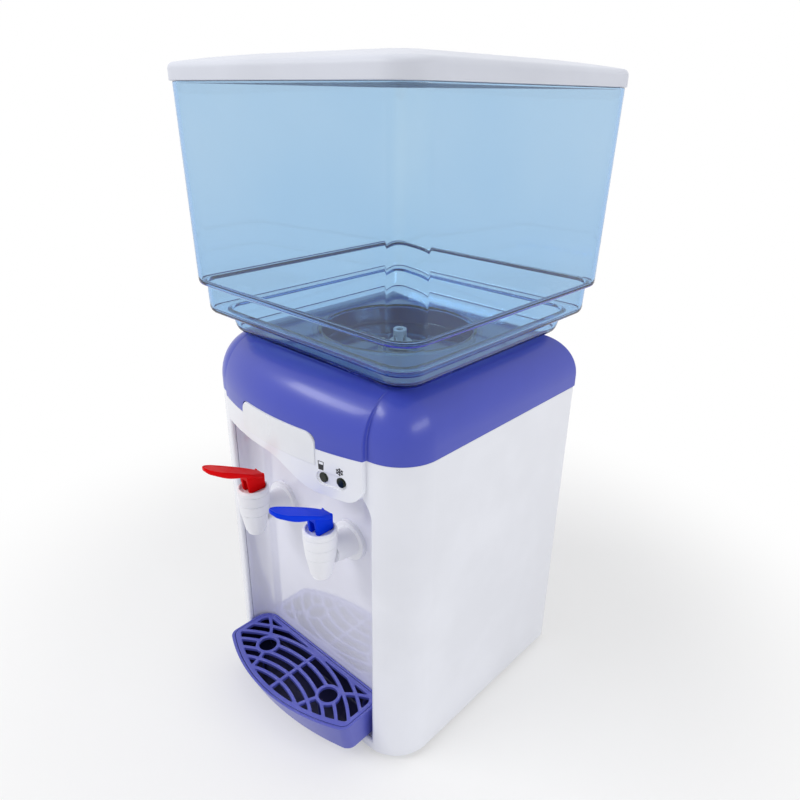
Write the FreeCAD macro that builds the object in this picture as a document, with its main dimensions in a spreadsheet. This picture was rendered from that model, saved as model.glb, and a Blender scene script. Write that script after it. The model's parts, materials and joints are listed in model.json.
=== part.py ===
"""Countertop water dispenser with a lift-off tank, two lever taps and a drip tray.

Millimetres, +Z up, the front faces -Y.  The origin lies on the table below the centre of the
dispenser's bounding box.  The model is drawn round the middle of the housing (y = 0 there), and
every finished piece is moved to the origin by its Placement.
"""
import FreeCAD, Part
import math
import os

import Sketcher
from FreeCAD import Rotation, Vector

doc = FreeCAD.newDocument("WaterDispenser")

# ---------------------------------------------------------------------------------------------
# Driving dimensions: alias, value, what it is
# ---------------------------------------------------------------------------------------------
DIMENSIONS = [
    # housing
    ("FootHeight", 5, "rubber foot below the housing"),
    ("FootRadius", 7, "rubber foot radius"),
    ("FootInset", 17, "foot centre from the housing's side, front and rear"),
    ("BodyWidth", 220, "housing width"),
    ("BodyDepth", 210, "housing depth without the bow of the fascia"),
    ("ShellHeight", 265.6, "housing side height up to the seam with the cover"),
    ("CornerRadius", 33, "front vertical corners of housing and cover"),
    ("RearCorner", 4, "rear vertical corners of the housing"),
    ("ShellWall", 3, "housing and cover wall"),
    ("PanelWall", 2.5, "alcove, fascia and rear panel wall"),
    ("Gap", 0.3, "clearance between pieces that move apart"),
    ("Seat", 0.05, "clearance of a screw or a plug in its hole"),
    # alcove and fascia
    ("AlcoveWidth", 160, "opening between the two pillars"),
    ("AlcoveDepth", 19.3, "alcove back wall behind the front plane"),
    ("AlcoveCorner", 16, "alcove rear corner radius"),
    ("AlcoveDrop", 13.6, "alcove roof below the seam"),
    ("ArchDrop", 28.6, "top of the opening on the right, below the seam"),
    ("ArchRadius", 19, "rounded top corner of the opening on the right"),
    ("LipRadius", 2.4, "rounded edge of the pillars beside the alcove"),
    ("Threshold", 8, "alcove floor above the housing's bottom"),
    ("FasciaWidth", 154, "bowed front of the fascia and the cover"),
    ("BowEdge", 3.7, "how far the bow stands out at its edges"),
    ("BowRise", 16.4, "how far the bow stands out in the middle"),
    ("FasciaLeft", 18.6, "fascia's lower edge on the left, below the seam"),
    ("FasciaRight", 34.1, "fascia's lower edge on the right, below the seam"),
    ("SwooshStart", -2, "where the lower edge starts to fall"),
    ("SwooshEnd", 33, "where the lower edge is low"),
    ("SwooshRadius", 50, "bends of the falling lower edge"),
    ("FasciaCorner", 13, "lower right corner of the fascia"),
    ("TabWidth", 82, "tab that rises into the cover"),
    ("TabHeight", 11.6, "tab above the seam"),
    ("TabCorner", 9, "upper corners of the tab"),
    ("PlateDrop", 12, "raised plate below the seam"),
    ("PlateThickness", 0.8, "raised plate on the tab"),
    # indicator
    ("LampX", 53.5, "middle of the two lamps"),
    ("LampDrop", 20.6, "lamps below the seam"),
    ("LampPitch", 14, "distance between the lamps"),
    ("LampRadius", 3.7, "lamp lens radius"),
    ("LampRecess", 1, "depth of the lamp recess"),
    ("RecessRadius", 5.3, "end radius of the lamp recess"),
    # cover and well
    ("CoverHeight", 47, "cover above the seam"),
    ("CoverRound", 31, "big round along the cover's top edge"),
    ("WellRadius", 66, "round well in the cover"),
    ("WellDepth", 28, "well floor below the cover's top"),
    ("ProbeFlange", 18, "feed probe flange radius"),
    ("ProbeTip", 3.2, "feed probe tip radius"),
    ("ProbeBore", 1.8, "feed probe bore radius"),
    ("TailRadius", 6, "feed probe tail radius"),
    ("TailLength", 22, "feed probe tail below the well floor"),
    # tank
    ("TankShift", 6.2, "tank centre behind the housing's centre"),
    ("TankWall", 2.5, "tank wall"),
    ("TankFootWidth", 189.6, "lowest stage, bottom width"),
    ("TankFootDepth", 190.8, "lowest stage, bottom depth"),
    ("TankFootFlare", 2.9, "how much the lowest stage widens on each side"),
    ("TankFootHeight", 15.3, "lowest stage height"),
    ("TankBeltWidth", 216.8, "middle stage, bottom width"),
    ("TankBeltDepth", 219.8, "middle stage, bottom depth"),
    ("TankBeltHeight", 22, "middle stage height"),
    ("TankWidth", 228.6, "upper stage, bottom width"),
    ("TankDepth", 228.2, "upper stage, bottom depth"),
    ("TankFlare", 2.4, "how much the upper stage widens on each side"),
    ("TankHeight", 140.4, "upper stage height"),
    ("TankCorner", 18, "vertical corner radius of the tank"),
    ("SumpRadius", 62, "round sump below the tank's floor"),
    ("SumpDepth", 16, "sump below the tank's floor"),
    ("CageRadius", 7.5, "valve cage radius"),
    ("CageHeight", 13, "valve cage above the sump's floor"),
    ("CageWall", 2, "valve cage wall"),
    ("OutletRadius", 3.6, "outlet bore radius"),
    ("NeckRadius", 9, "outlet neck radius"),
    ("NutRadius", 15, "outlet nut radius"),
    ("NutHeight", 5.2, "outlet nut height"),
    ("ValveLift", 4, "how far the seated tank opens its valve"),
    # lid
    ("LidWidth", 235, "lid width"),
    ("LidDepth", 238.6, "lid depth"),
    ("LidSkirt", 7.2, "lid skirt height"),
    ("LidRound", 4.5, "round above the skirt"),
    ("LidRise", 7, "dome above the round"),
    ("LidCorner", 20, "lid corner radius"),
    ("LidPlug", 3.2, "ring under the lid that enters the tank"),
    ("LidWall", 2.2, "lid wall"),
    # taps
    ("TapSpacing", 80.6, "distance between the two taps"),
    ("TapHeight", 175.6, "tap inlet axis above the housing's bottom"),
    ("TapReach", 30.3, "barrel axis in front of the alcove's back wall"),
    ("TapFlange", 16, "tap flange radius"),
    ("TapNeck", 11, "tap neck radius"),
    ("BarrelRadius", 12.6, "barrel top radius"),
    ("BarrelWaist", 8.4, "barrel radius above the spout"),
    ("BarrelTop", 201, "barrel top above the housing's bottom"),
    ("SpoutRadius", 6.85, "spout ring radius"),
    ("SpoutBottom", 159.2, "spout end above the housing's bottom"),
    ("SpoutBore", 4.6, "spout bore radius"),
    ("ChamberRadius", 8.4, "valve chamber radius"),
    ("InletBore", 4, "tap inlet bore radius"),
    ("TailThread", 9.5, "threaded tail radius"),
    ("BarbRadius", 5.5, "hose barb radius"),
    ("StemRadius", 2.4, "valve stem radius"),
    ("PinRadius", 1.3, "lever pin radius"),
    ("LeverReach", 48.95, "lever tip in front of the block's rear"),
    ("LeverRise", 25, "lever tip above the block's rear"),
    ("LeverWidth", 18, "paddle width"),
    ("LeverThickness", 4.6, "paddle thickness"),
    ("BlockWidth", 10.8, "lever block width"),
    ("BlockLength", 16.8, "lever block length"),
    ("PressAngle", 18, "how far a lever is pressed down"),
    # drip tray
    ("TrayWidth", 152, "drip tray width"),
    ("TrayRim", 37, "tray rim above the housing's bottom"),
    ("TraySide", 24, "straight side of the tray in front of the front plane"),
    ("TrayReach", 43.5, "tray's front edge in front of the front plane"),
    ("TrayTaper", 12.5, "how far the tray's front leans back to its bottom"),
    ("TrayCorner", 9, "front corner radius of the tray"),
    ("TrayRear", 14, "rear corner radius of the tray"),
    ("TrayWall", 2.2, "tray wall"),
    ("GrilleThickness", 3.2, "grille thickness"),
    ("GrilleBorder", 3.6, "grille border width"),
    ("RibWidth", 2.8, "grille rib width"),
    ("RibPitch", 9.75, "distance between the grille's arcs"),
    ("RibFirst", 70, "radius of the foremost arc"),
    ("RibCentre", 98, "centre of the arcs in front of the front plane"),
    ("RibCount", 6, "number of arcs"),
    ("DrainRadius", 7.8, "hole below each spout"),
    ("TongueWidth", 16, "tray tongue width"),
    ("TongueHeight", 4, "tray tongue thickness"),
    ("TongueLength", 5.5, "tray tongue length"),
    # cooling
    ("ReservoirRadius", 38, "cold reservoir radius"),
    ("ReservoirBottom", 97, "cold reservoir above the housing's bottom"),
    ("ReservoirHeight", 118, "cold reservoir height"),
    ("ReservoirWall", 1, "cold reservoir wall"),
    ("FoamThickness", 12, "insulation thickness"),
    ("ColdBlockWidth", 62, "cold block width"),
    ("ColdBlockHeight", 44, "cold block height"),
    ("ColdBlockRear", 56, "cold block's rear face behind the reservoir's axis"),
    ("ModuleSize", 40, "thermoelectric module edge"),
    ("ModuleThickness", 3.8, "thermoelectric module thickness"),
    ("SinkWidth", 96, "heat sink width"),
    ("SinkHeight", 92, "heat sink height"),
    ("SinkBase", 4, "heat sink base thickness"),
    ("FinLength", 15, "heat sink fin length"),
    ("FinThickness", 1.4, "heat sink fin thickness"),
    ("FinCount", 17, "number of fins"),
    ("FanSize", 80, "fan frame edge"),
    ("FanThickness", 15, "fan frame thickness"),
    ("FanRadius", 36.5, "fan duct radius"),
    ("HubRadius", 15, "fan hub radius"),
    ("BladeCount", 7, "number of fan blades"),
    ("ShaftRadius", 1.5, "fan shaft radius"),
    ("HoseRadius", 7.2, "hose radius"),
    ("BendRadius", 13, "hose bend radius"),
    # electrics and fasteners
    ("BoardWidth", 84, "power board, along the housing's depth"),
    ("BoardHeight", 92, "power board height"),
    ("BoardThickness", 1.6, "circuit board thickness"),
    ("BoardOffset", 13, "power board from the housing's side wall"),
    ("InletWidth", 27, "power inlet width"),
    ("InletHeight", 19.8, "power inlet height"),
    ("InletX", 62, "power inlet from the middle"),
    ("InletZ", 36, "power inlet above the housing's bottom"),
    ("SwitchWidth", 13, "rocker switch width"),
    ("SwitchHeight", 19.4, "rocker switch height"),
    ("SwitchX", 30, "rocker switch from the middle"),
    ("RockerAngle", 10, "rocker tilt to each side"),
    ("RearWidth", 184, "rear panel width"),
    ("RearDrop", 19.6, "rear panel's top below the seam"),
    ("RearBottom", 14, "rear panel above the housing's bottom"),
    ("SlotHeight", 3.2, "vent slot height"),
    ("SlotPitch", 6.4, "vent slot pitch"),
    ("SlotCount", 13, "number of vent slots at the fan"),
    ("ScrewRadius", 1.6, "screw thread radius"),
    ("ScrewHead", 3.2, "screw head radius"),
    ("ScrewLength", 10, "screw length"),
    ("BossRadius", 4, "screw boss radius"),
]

sheet = doc.addObject("Spreadsheet::Sheet", "Sizes")
for row, (alias, number, meaning) in enumerate(DIMENSIONS, start=1):
    sheet.set(f"A{row}", meaning)
    sheet.set(f"B{row}", str(number))
    sheet.setAlias(f"B{row}", alias)
doc.recompute()


# ---------------------------------------------------------------------------------------------
# Formulas: a size knows its number and the text that binds a property to the sheet
# ---------------------------------------------------------------------------------------------
class Size:
    """A length or angle as a number and as a formula on the sheet."""

    def __init__(self, number, text=None):
        self.number = float(number)
        self.text = text or f"{float(number):g}"

    @staticmethod
    def of(value):
        return value if isinstance(value, Size) else Size(value, f"{float(value):.9g}")

    def _join(self, sign, other, number):
        return Size(number, f"({self.text} {sign} {other.text})")

    def __float__(self):
        return self.number

    def __add__(self, other):
        other = Size.of(other)
        return self._join("+", other, self.number + other.number)

    def __sub__(self, other):
        other = Size.of(other)
        return self._join("-", other, self.number - other.number)

    def __mul__(self, other):
        other = Size.of(other)
        return self._join("*", other, self.number * other.number)

    def __truediv__(self, other):
        other = Size.of(other)
        return self._join("/", other, self.number / other.number)

    def __radd__(self, other):
        return Size.of(other) + self

    def __rsub__(self, other):
        return Size.of(other) - self

    def __rmul__(self, other):
        return Size.of(other) * self

    def __neg__(self):
        return Size(-self.number, f"(0 - {self.text})")


def sine(angle):
    return Size(math.sin(math.radians(angle.number)), f"sin({angle.text} * 1 deg)")


def cosine(angle):
    return Size(math.cos(math.radians(angle.number)), f"cos({angle.text} * 1 deg)")


class SizeTable:
    """The sheet's cells by name."""

    def __getattr__(self, alias):
        return Size(sheet.get(alias), f"Sizes.{alias}")


s = SizeTable()

# Levels and planes that many pieces share
BASE = s.FootHeight
SEAM = BASE + s.ShellHeight
COVER_TOP = SEAM + s.CoverHeight
FRONT = -s.BodyDepth / 2
REAR = s.BodyDepth / 2
SIDE = s.BodyWidth / 2
ALCOVE_BACK = FRONT + s.AlcoveDepth
ALCOVE_REAR = ALCOVE_BACK + s.PanelWall
ALCOVE_SIDE = s.AlcoveWidth / 2
ALCOVE_FLOOR = BASE + s.Threshold
ALCOVE_TOP = SEAM - s.AlcoveDrop
FASCIA_LOW = SEAM - s.FasciaRight
LAMP_Z = SEAM - s.LampDrop
REAR_LOW = BASE + s.RearBottom
REAR_TOP = SEAM - s.RearDrop
TONGUE_Z = ALCOVE_FLOOR + s.TrayWall + 3
TAP_X = s.TapSpacing / 2
TAP_Z = BASE + s.TapHeight
TAP_Y = ALCOVE_BACK - s.TapReach
BARREL_TOP = BASE + s.BarrelTop
BLOCK_REAR = TAP_Y + s.BlockLength / 2
LEVER_TIP = BLOCK_REAR - s.LeverReach
TANK_Y = s.TankShift
TANK_BOTTOM = COVER_TOP + s.Gap
LID_REAR = TANK_Y + s.LidDepth / 2
ORIGIN_Y = -(LEVER_TIP + LID_REAR) / 2

nodes = []


# ---------------------------------------------------------------------------------------------
# Document helpers
# ---------------------------------------------------------------------------------------------
def bind(item, **formulas):
    """Bind properties to formulas; a double underscore stands for a dot."""
    for path, size in formulas.items():
        item.setExpression(path.replace("__", "."), Size.of(size).text)


def place(item, x=0, y=0, z=0):
    bind(item, Placement__Base__x=x, Placement__Base__y=y, Placement__Base__z=z)
    return item


def finish(item, label, x=0, y=0, z=0):
    """Name a finished piece and move it from the housing's middle to the origin."""
    if item.TypeId in ("Part::Box", "Part::Cylinder", "Part::Feature"):
        item = group(item.Name + "Piece", item)
    item.Label = label
    place(item, x, Size.of(y) + ORIGIN_Y, z)
    nodes.append(item)
    return item


def block(name, x, y, z):
    """A box between low and high formulas along each axis."""
    box = doc.addObject("Part::Box", name)
    spans = [(Size.of(low), Size.of(high)) for low, high in (x, y, z)]
    bind(box, Length=spans[0][1] - spans[0][0], Width=spans[1][1] - spans[1][0],
         Height=spans[2][1] - spans[2][0])
    return place(box, spans[0][0], spans[1][0], spans[2][0])


def turn_to(item, axis):
    """Turn an upright primitive to run along X, Y or Z."""
    turns = {"X": Rotation(Vector(0, 1, 0), 90), "Y": Rotation(Vector(1, 0, 0), -90), "Z": Rotation()}
    item.Placement.Rotation = turns[axis]


def rod(name, radius, span, axis="Z", at=(0, 0)):
    """A cylinder along an axis; at holds the two other coordinates in X, Y, Z order."""
    cylinder = doc.addObject("Part::Cylinder", name)
    low, high = Size.of(span[0]), Size.of(span[1])
    turn_to(cylinder, axis)
    bind(cylinder, Radius=radius, Height=high - low)
    spots = {"X": (low, at[0], at[1]), "Y": (at[0], low, at[1]), "Z": (at[0], at[1], low)}
    return place(cylinder, *spots[axis])


def cone(name, radii, span, axis="Z", at=(0, 0)):
    item = doc.addObject("Part::Cone", name)
    low, high = Size.of(span[0]), Size.of(span[1])
    turn_to(item, axis)
    bind(item, Radius1=radii[0], Radius2=radii[1], Height=high - low)
    spots = {"X": (low, at[0], at[1]), "Y": (at[0], low, at[1]), "Z": (at[0], at[1], low)}
    return place(item, *spots[axis])


def fuse(name, *items):
    union = doc.addObject("Part::MultiFuse", name)
    union.Shapes = list(items)
    union.Refine = True
    return union


def common(name, *items):
    overlap = doc.addObject("Part::MultiCommon", name)
    overlap.Shapes = list(items)
    return overlap


def cut(name, base, *tools):
    """The base without the tools."""
    result = doc.addObject("Part::Cut", name)
    result.Base = base
    result.Tool = tools[0] if len(tools) == 1 else fuse(name + "Tools", *tools)
    return result


def group(name, *items):
    """Separate solids that share one node."""
    compound = doc.addObject("Part::Compound", name)
    compound.Links = list(items)
    return compound


def ring(name, outer, inner, span, axis="Z", at=(0, 0)):
    return cut(name, rod(name + "Outer", outer, span, axis, at), rod(name + "Inner", inner, span, axis, at))


def new_body(name):
    return doc.addObject("PartDesign::Body", name)


def new_sketch(body, name, plane="XY_Plane", offset=0):
    """A sketch on one of the body's own origin planes, moved along the plane's normal."""
    sketch = body.newObject("Sketcher::SketchObject", name)
    support = next(item for item in body.Origin.OriginFeatures if item.Role == plane)
    sketch.AttachmentSupport = [(support, "")]
    sketch.MapMode = "FlatFace"
    bind(sketch, AttachmentOffset__Base__z=offset)
    return sketch


def hold(sketch, kind, *references, size):
    size = Size.of(size)
    index = sketch.addConstraint(Sketcher.Constraint(kind, *references, size.number))
    sketch.setExpression(f"Constraints[{index}]", size.text)


def pin(sketch, geometry, end, spot):
    """Hold a point at two formulas from the sketch's origin."""
    hold(sketch, "DistanceX", -1, 1, geometry, end, size=spot[0])
    hold(sketch, "DistanceY", -1, 1, geometry, end, size=spot[1])


def vector(spot):
    return Vector(float(spot[0]), float(spot[1]), 0)


def outline(sketch, corners, through=None):
    """A closed line through corners; through gives the point that the arc after a corner passes."""
    through = through or {}
    first = sketch.GeometryCount
    starts = []
    for index, corner in enumerate(corners):
        start = vector(corner)
        end = vector(corners[(index + 1) % len(corners)])
        if index in through:
            middle = vector(through[index])
            sketch.addGeometry(Part.Arc(start, middle, end), False)
            clockwise = (middle - start).cross(end - middle).z < 0
            starts.append(2 if clockwise else 1)
        else:
            sketch.addGeometry(Part.LineSegment(start, end), False)
            starts.append(1)
    count = len(corners)
    for index in range(count):
        after = (index + 1) % count
        end = 3 - starts[index]
        sketch.addConstraint(Sketcher.Constraint("Coincident", first + index, end,
                                                 first + after, starts[after]))
        pin(sketch, first + index, starts[index], corners[index])
    for index, middle in through.items():
        sketch.addGeometry(Part.Point(vector(middle)), True)
        point = sketch.GeometryCount - 1
        sketch.addConstraint(Sketcher.Constraint("PointOnObject", point, 1, first + index))
        pin(sketch, point, 1, middle)
    return sketch


def circle(sketch, radius, x=0, y=0):
    sketch.addGeometry(Part.Circle(vector((x, y)), Vector(0, 0, 1), float(radius)), False)
    index = sketch.GeometryCount - 1
    hold(sketch, "Radius", index, size=radius)
    pin(sketch, index, 3, (x, y))
    return sketch


def rectangle(sketch, x, y):
    return outline(sketch, [(x[0], y[0]), (x[1], y[0]), (x[1], y[1]), (x[0], y[1])])


def rounded(sketch, x, y, front, rear=None):
    """A rectangle with one radius at its two front corners and one at its two rear corners."""
    rear = front if rear is None else rear
    left, right = Size.of(x[0]), Size.of(x[1])
    low, high = Size.of(y[0]), Size.of(y[1])
    front, rear = Size.of(front), Size.of(rear)
    inset = 1 - math.sqrt(0.5)
    corners = [(left + front, low), (right - front, low), (right, low + front), (right, high - rear),
               (right - rear, high), (left + rear, high), (left, high - rear), (left, low + front)]
    through = {1: (right - front * inset, low + front * inset),
               3: (right - rear * inset, high - rear * inset),
               5: (left + rear * inset, high - rear * inset),
               7: (left + front * inset, low + front * inset)}
    return outline(sketch, corners, through)


def extrude(kind, body, sketch, length, reverse=False):
    feature = body.newObject(kind, sketch.Name + kind.split("::")[1])
    feature.Profile = sketch
    bind(feature, Length=length)
    feature.Reversed = reverse
    return feature


def pad(body, sketch, length, reverse=False):
    return extrude("PartDesign::Pad", body, sketch, length, reverse)


def pocket(body, sketch, length, reverse=False):
    """A cut against the sketch's normal, or along it when reversed."""
    return extrude("PartDesign::Pocket", body, sketch, length, reverse)


def revolve(body, sketch, kind="PartDesign::Revolution"):
    """A full turn of the sketch about its vertical axis."""
    feature = body.newObject(kind, sketch.Name + kind.split("::")[1])
    feature.Profile = sketch
    feature.ReferenceAxis = (sketch, ["V_Axis"])
    feature.Angle = 360
    return feature


def turned(name, profile):
    """A body turned about Z from (radius, height) corners."""
    body = new_body(name)
    revolve(body, outline(new_sketch(body, name + "Profile", "XZ_Plane"), profile))
    return body


def loft(kind, body, sketches):
    feature = body.newObject(kind, sketches[0].Name + kind.split("::")[1])
    feature.Profile = sketches[0]
    feature.Sections = sketches[1:]
    feature.Ruled = True
    return feature


def fillet(body, feature, radius, wanted):
    """Round the edges of a feature that the test picks."""
    doc.recompute()
    result = body.newObject("PartDesign::Fillet", feature.Name + "Fillet")
    edges = [f"Edge{index}" for index, edge in enumerate(feature.Shape.Edges, start=1) if wanted(edge)]
    result.Base = (feature, edges)
    bind(result, Radius=radius)
    return result


def level_at(height):
    """Edges that lie flat at a height."""
    def wanted(edge):
        box = edge.BoundBox
        return abs(box.ZMin - float(height)) < 1e-4 and abs(box.ZMax - float(height)) < 1e-4
    return wanted


def edges_near(*spots):
    """Edges whose middle lies at one of the points; None leaves a coordinate free."""
    def wanted(edge):
        middle = edge.valueAt((edge.FirstParameter + edge.LastParameter) / 2)
        for spot in spots:
            pairs = [(want, have) for want, have in zip(spot, middle) if want is not None]
            if all(abs(float(want) - have) < 0.02 for want, have in pairs):
                return True
        return False
    return wanted


def screw(name, x, y, z, axis, sign, length=None):
    """A pan-head screw: the seat of its head at x, y, z, its thread along sign times the axis."""
    length = length or s.ScrewLength
    at = {"X": (y, z), "Y": (x, z), "Z": (x, y)}[axis]
    seat = Size.of({"X": x, "Y": y, "Z": z}[axis])
    head = s.ScrewHead * 0.6
    thread = (seat, seat + length) if sign > 0 else (seat - length, seat)
    cap = (seat - head, seat) if sign > 0 else (seat, seat + head)
    return fuse(name, rod(name + "Thread", s.ScrewRadius, thread, axis, at),
                rod(name + "Head", s.ScrewHead, cap, axis, at))


def bow(name, inset, span):
    """A prism between the front plane and the bowed front, drawn in by an inset."""
    body = new_body(name)
    half = s.FasciaWidth / 2 - inset
    edge = FRONT - s.BowEdge + inset
    sketch = new_sketch(body, name + "Plan", offset=span[0])
    outline(sketch, [(-half, FRONT), (-half, edge), (half, edge), (half, FRONT)],
            {1: (0, FRONT - s.BowRise + inset)})
    pad(body, sketch, Size.of(span[1]) - span[0])
    return body


# ---------------------------------------------------------------------------------------------
# Housing: shell, base plate, feet
# ---------------------------------------------------------------------------------------------
def foot_spots():
    x = SIDE - s.FootInset
    y = REAR - s.FootInset
    return [(x, y), (x, -y), (-x, y), (-x, -y)]


def base_screw_spots():
    wide = SIDE - s.ShellWall - s.BossRadius
    return [(x, y) for x in (wide, -wide) for y in (-s.BodyDepth / 4, s.BodyDepth / 4)]


def rear_screw_spots():
    x = s.RearWidth / 2 - s.BossRadius - 0.5
    low = REAR_LOW + s.BossRadius + 0.5
    high = REAR_TOP - s.BossRadius - 0.5
    return [(-x, low), (x, low), (-x, high), (x, high), (-x, (low + high) / 2), (x, (low + high) / 2)]


def front_lip(edge):
    """The outer edges of the two pillars beside the alcove's opening."""
    box = edge.BoundBox
    middle = edge.valueAt((edge.FirstParameter + edge.LastParameter) / 2)
    wide = abs(middle.x) - float(SIDE - s.CornerRadius)
    depth = middle.y - float(FRONT)
    if wide > 0:
        depth = float(s.CornerRadius) - math.hypot(wide, depth - float(s.CornerRadius))
    beside = abs(middle.x) > float(ALCOVE_SIDE - s.ArchRadius)
    upright = box.ZMin > float(ALCOVE_FLOOR) - 1 and box.ZMax < float(SEAM) - 1
    return beside and upright and abs(depth) < 0.01


def make_shell():
    body = new_body("Shell")
    outer = rounded(new_sketch(body, "ShellOuter", offset=BASE), (-SIDE, SIDE), (FRONT, REAR),
                    s.CornerRadius, s.RearCorner)
    pad(body, outer, s.ShellHeight)
    wall = s.ShellWall
    inner = rounded(new_sketch(body, "ShellInner", offset=SEAM), (wall - SIDE, SIDE - wall),
                    (FRONT + wall, REAR - wall), s.CornerRadius - wall, s.RearCorner - wall)
    pocket(body, inner, s.ShellHeight)
    arch = new_sketch(body, "ShellArch", "XZ_Plane", offset=-FRONT)
    inset = 1 - math.sqrt(0.5)
    top = SEAM - s.ArchDrop
    outline(arch, [(-ALCOVE_SIDE, ALCOVE_FLOOR), (ALCOVE_SIDE, ALCOVE_FLOOR),
                   (ALCOVE_SIDE, top - s.ArchRadius), (ALCOVE_SIDE - s.ArchRadius, top),
                   (s.SwooshEnd, top), (s.SwooshStart, ALCOVE_TOP), (-ALCOVE_SIDE, ALCOVE_TOP)],
            {2: (ALCOVE_SIDE - s.ArchRadius * inset, top - s.ArchRadius * inset)})
    opening = pocket(body, arch, wall * 3)
    fillet(body, opening, s.LipRadius, front_lip)
    vent = new_sketch(body, "ShellVent", "XZ_Plane", offset=-REAR)
    margin = s.BossRadius * 2 + 1.5
    rectangle(vent, (margin - s.RearWidth / 2, s.RearWidth / 2 - margin),
              (REAR_LOW + margin, REAR_TOP - margin))
    pocket(body, vent, wall * 2, reverse=True)
    return body


def make_housing():
    shell = make_shell()
    wall_low = REAR - s.ShellWall - s.ScrewLength
    bosses = []
    holes = []
    for index, (x, z) in enumerate(rear_screw_spots()):
        bosses.append(rod(f"RearBoss{index}", s.BossRadius, (wall_low, REAR - s.ShellWall / 2), "Y", (x, z)))
        holes.append(rod(f"RearHole{index}", s.ScrewRadius + s.Seat, (wall_low, REAR + 1), "Y", (x, z)))
    post_top = BASE + s.PanelWall + s.ScrewLength + 2
    for index, (x, y) in enumerate(base_screw_spots()):
        bosses.append(rod(f"Post{index}", s.BossRadius, (BASE + s.PanelWall, post_top), at=(x, y)))
        side = 1 if float(x) > 0 else -1
        reach = sorted([x, side * (SIDE - s.ShellWall / 2)], key=float)
        bosses.append(block(f"PostWeb{index}", reach, (y - 1.5, y + 1.5), (BASE + s.PanelWall, post_top)))
        holes.append(rod(f"PostHole{index}", s.ScrewRadius + s.Seat, (BASE, post_top - 1), at=(x, y)))
    solid = cut("Housing", fuse("ShellBosses", shell, *bosses), *holes)
    finish(solid, "housing_shell")


def make_base():
    body = new_body("BasePlate")
    inset = s.ShellWall + s.Seat
    plan = rounded(new_sketch(body, "BasePlan", offset=BASE), (inset - SIDE, SIDE - inset),
                   (FRONT + inset, REAR - inset), s.CornerRadius - inset, s.RearCorner - inset + 0.3)
    for x, y in base_screw_spots():
        circle(plan, s.ScrewRadius + s.Seat, x, y)
    for x, y in foot_spots():
        circle(plan, s.FootRadius / 3, x, y)
    pad(body, plan, s.PanelWall)
    finish(body, "base_plate")

    feet = []
    for index, (x, y) in enumerate(foot_spots()):
        tread = cone(f"FootTread{index}", (s.FootRadius - 1, s.FootRadius), (0, s.FootHeight), at=(x, y))
        stud = rod(f"FootStud{index}", s.FootRadius / 3 - s.Seat, (s.FootHeight / 2, BASE + s.PanelWall),
                   at=(x, y))
        feet.append(fuse(f"Foot{index}", tread, stud))
    finish(group("Feet", *feet), "rubber_feet")

    screws = [screw(f"BaseScrew{index}", x, y, BASE, "Z", 1)
              for index, (x, y) in enumerate(base_screw_spots())]
    finish(group("BaseScrews", *screws), "base_screws")


def tongue_spots():
    return [-TAP_X, TAP_X]


def make_alcove():
    """The recessed panel behind the taps, with a floor, a roof and two side returns."""
    body = new_body("Alcove")
    wall = s.PanelWall
    lip = FRONT + s.ShellWall + s.Gap * 3
    outer = rounded(new_sketch(body, "AlcoveOuter", offset=ALCOVE_FLOOR - wall),
                    (-ALCOVE_SIDE - wall, ALCOVE_SIDE + wall), (lip, ALCOVE_REAR), s.Gap,
                    s.AlcoveCorner)
    pad(body, outer, ALCOVE_TOP + wall - (ALCOVE_FLOOR - wall))
    inner = rounded(new_sketch(body, "AlcoveInner", offset=ALCOVE_TOP),
                    (-ALCOVE_SIDE, ALCOVE_SIDE), (lip - s.AlcoveDepth, ALCOVE_BACK), 1, s.AlcoveCorner)
    pocket(body, inner, ALCOVE_TOP - ALCOVE_FLOOR)
    openings = new_sketch(body, "AlcoveHoles", "XZ_Plane", offset=-ALCOVE_REAR)
    for x in (-TAP_X, TAP_X):
        circle(openings, s.TailThread + s.Seat * 2, x, TAP_Z)
    low = TONGUE_Z
    for x in tongue_spots():
        half = s.TongueWidth / 2 + s.Gap * 2
        rectangle(openings, (x - half, x + half), (low - s.Gap, low + s.TongueHeight + s.Gap))
    pocket(body, openings, wall * 2, reverse=True)
    finish(body, "alcove_panel")


# ---------------------------------------------------------------------------------------------
# Fascia, raised plate, lamps
# ---------------------------------------------------------------------------------------------
def fascia_outline(name, inset, top):
    """Front view of the fascia below the seam, drawn in by an inset, as a slab through its depth."""
    body = new_body(name)
    half = s.FasciaWidth / 2 - inset
    sketch = new_sketch(body, name + "Front", "XZ_Plane", offset=-FRONT)
    low = FASCIA_LOW + inset
    high = SEAM - s.FasciaLeft + inset
    outline(sketch, [(-half, high), (s.SwooshStart, high), (s.SwooshEnd, low), (half, low),
                     (half, top), (-half, top)])
    slab = pad(body, sketch, s.BowRise + 5)
    soft = fillet(body, slab, s.SwooshRadius,
                  edges_near((s.SwooshStart, None, high), (s.SwooshEnd, None, low)))
    fillet(body, soft, s.FasciaCorner - inset, edges_near((half, None, low)))
    return body


def tab_outline(name, grow, low):
    """Front view of the tab that rises into the cover."""
    body = new_body(name)
    half = s.TabWidth / 2 + grow
    top = SEAM + s.TabHeight + grow
    radius = s.TabCorner + grow
    inset = 1 - math.sqrt(0.5)
    sketch = new_sketch(body, name + "Front", "XZ_Plane", offset=-FRONT)
    outline(sketch, [(-half, low), (half, low), (half, top - radius), (half - radius, top),
                     (radius - half, top), (-half, top - radius)],
            {2: (half - radius * inset, top - radius * inset),
             4: (radius * inset - half, top - radius * inset)})
    pad(body, sketch, s.BowRise + 5)
    return body


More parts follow.
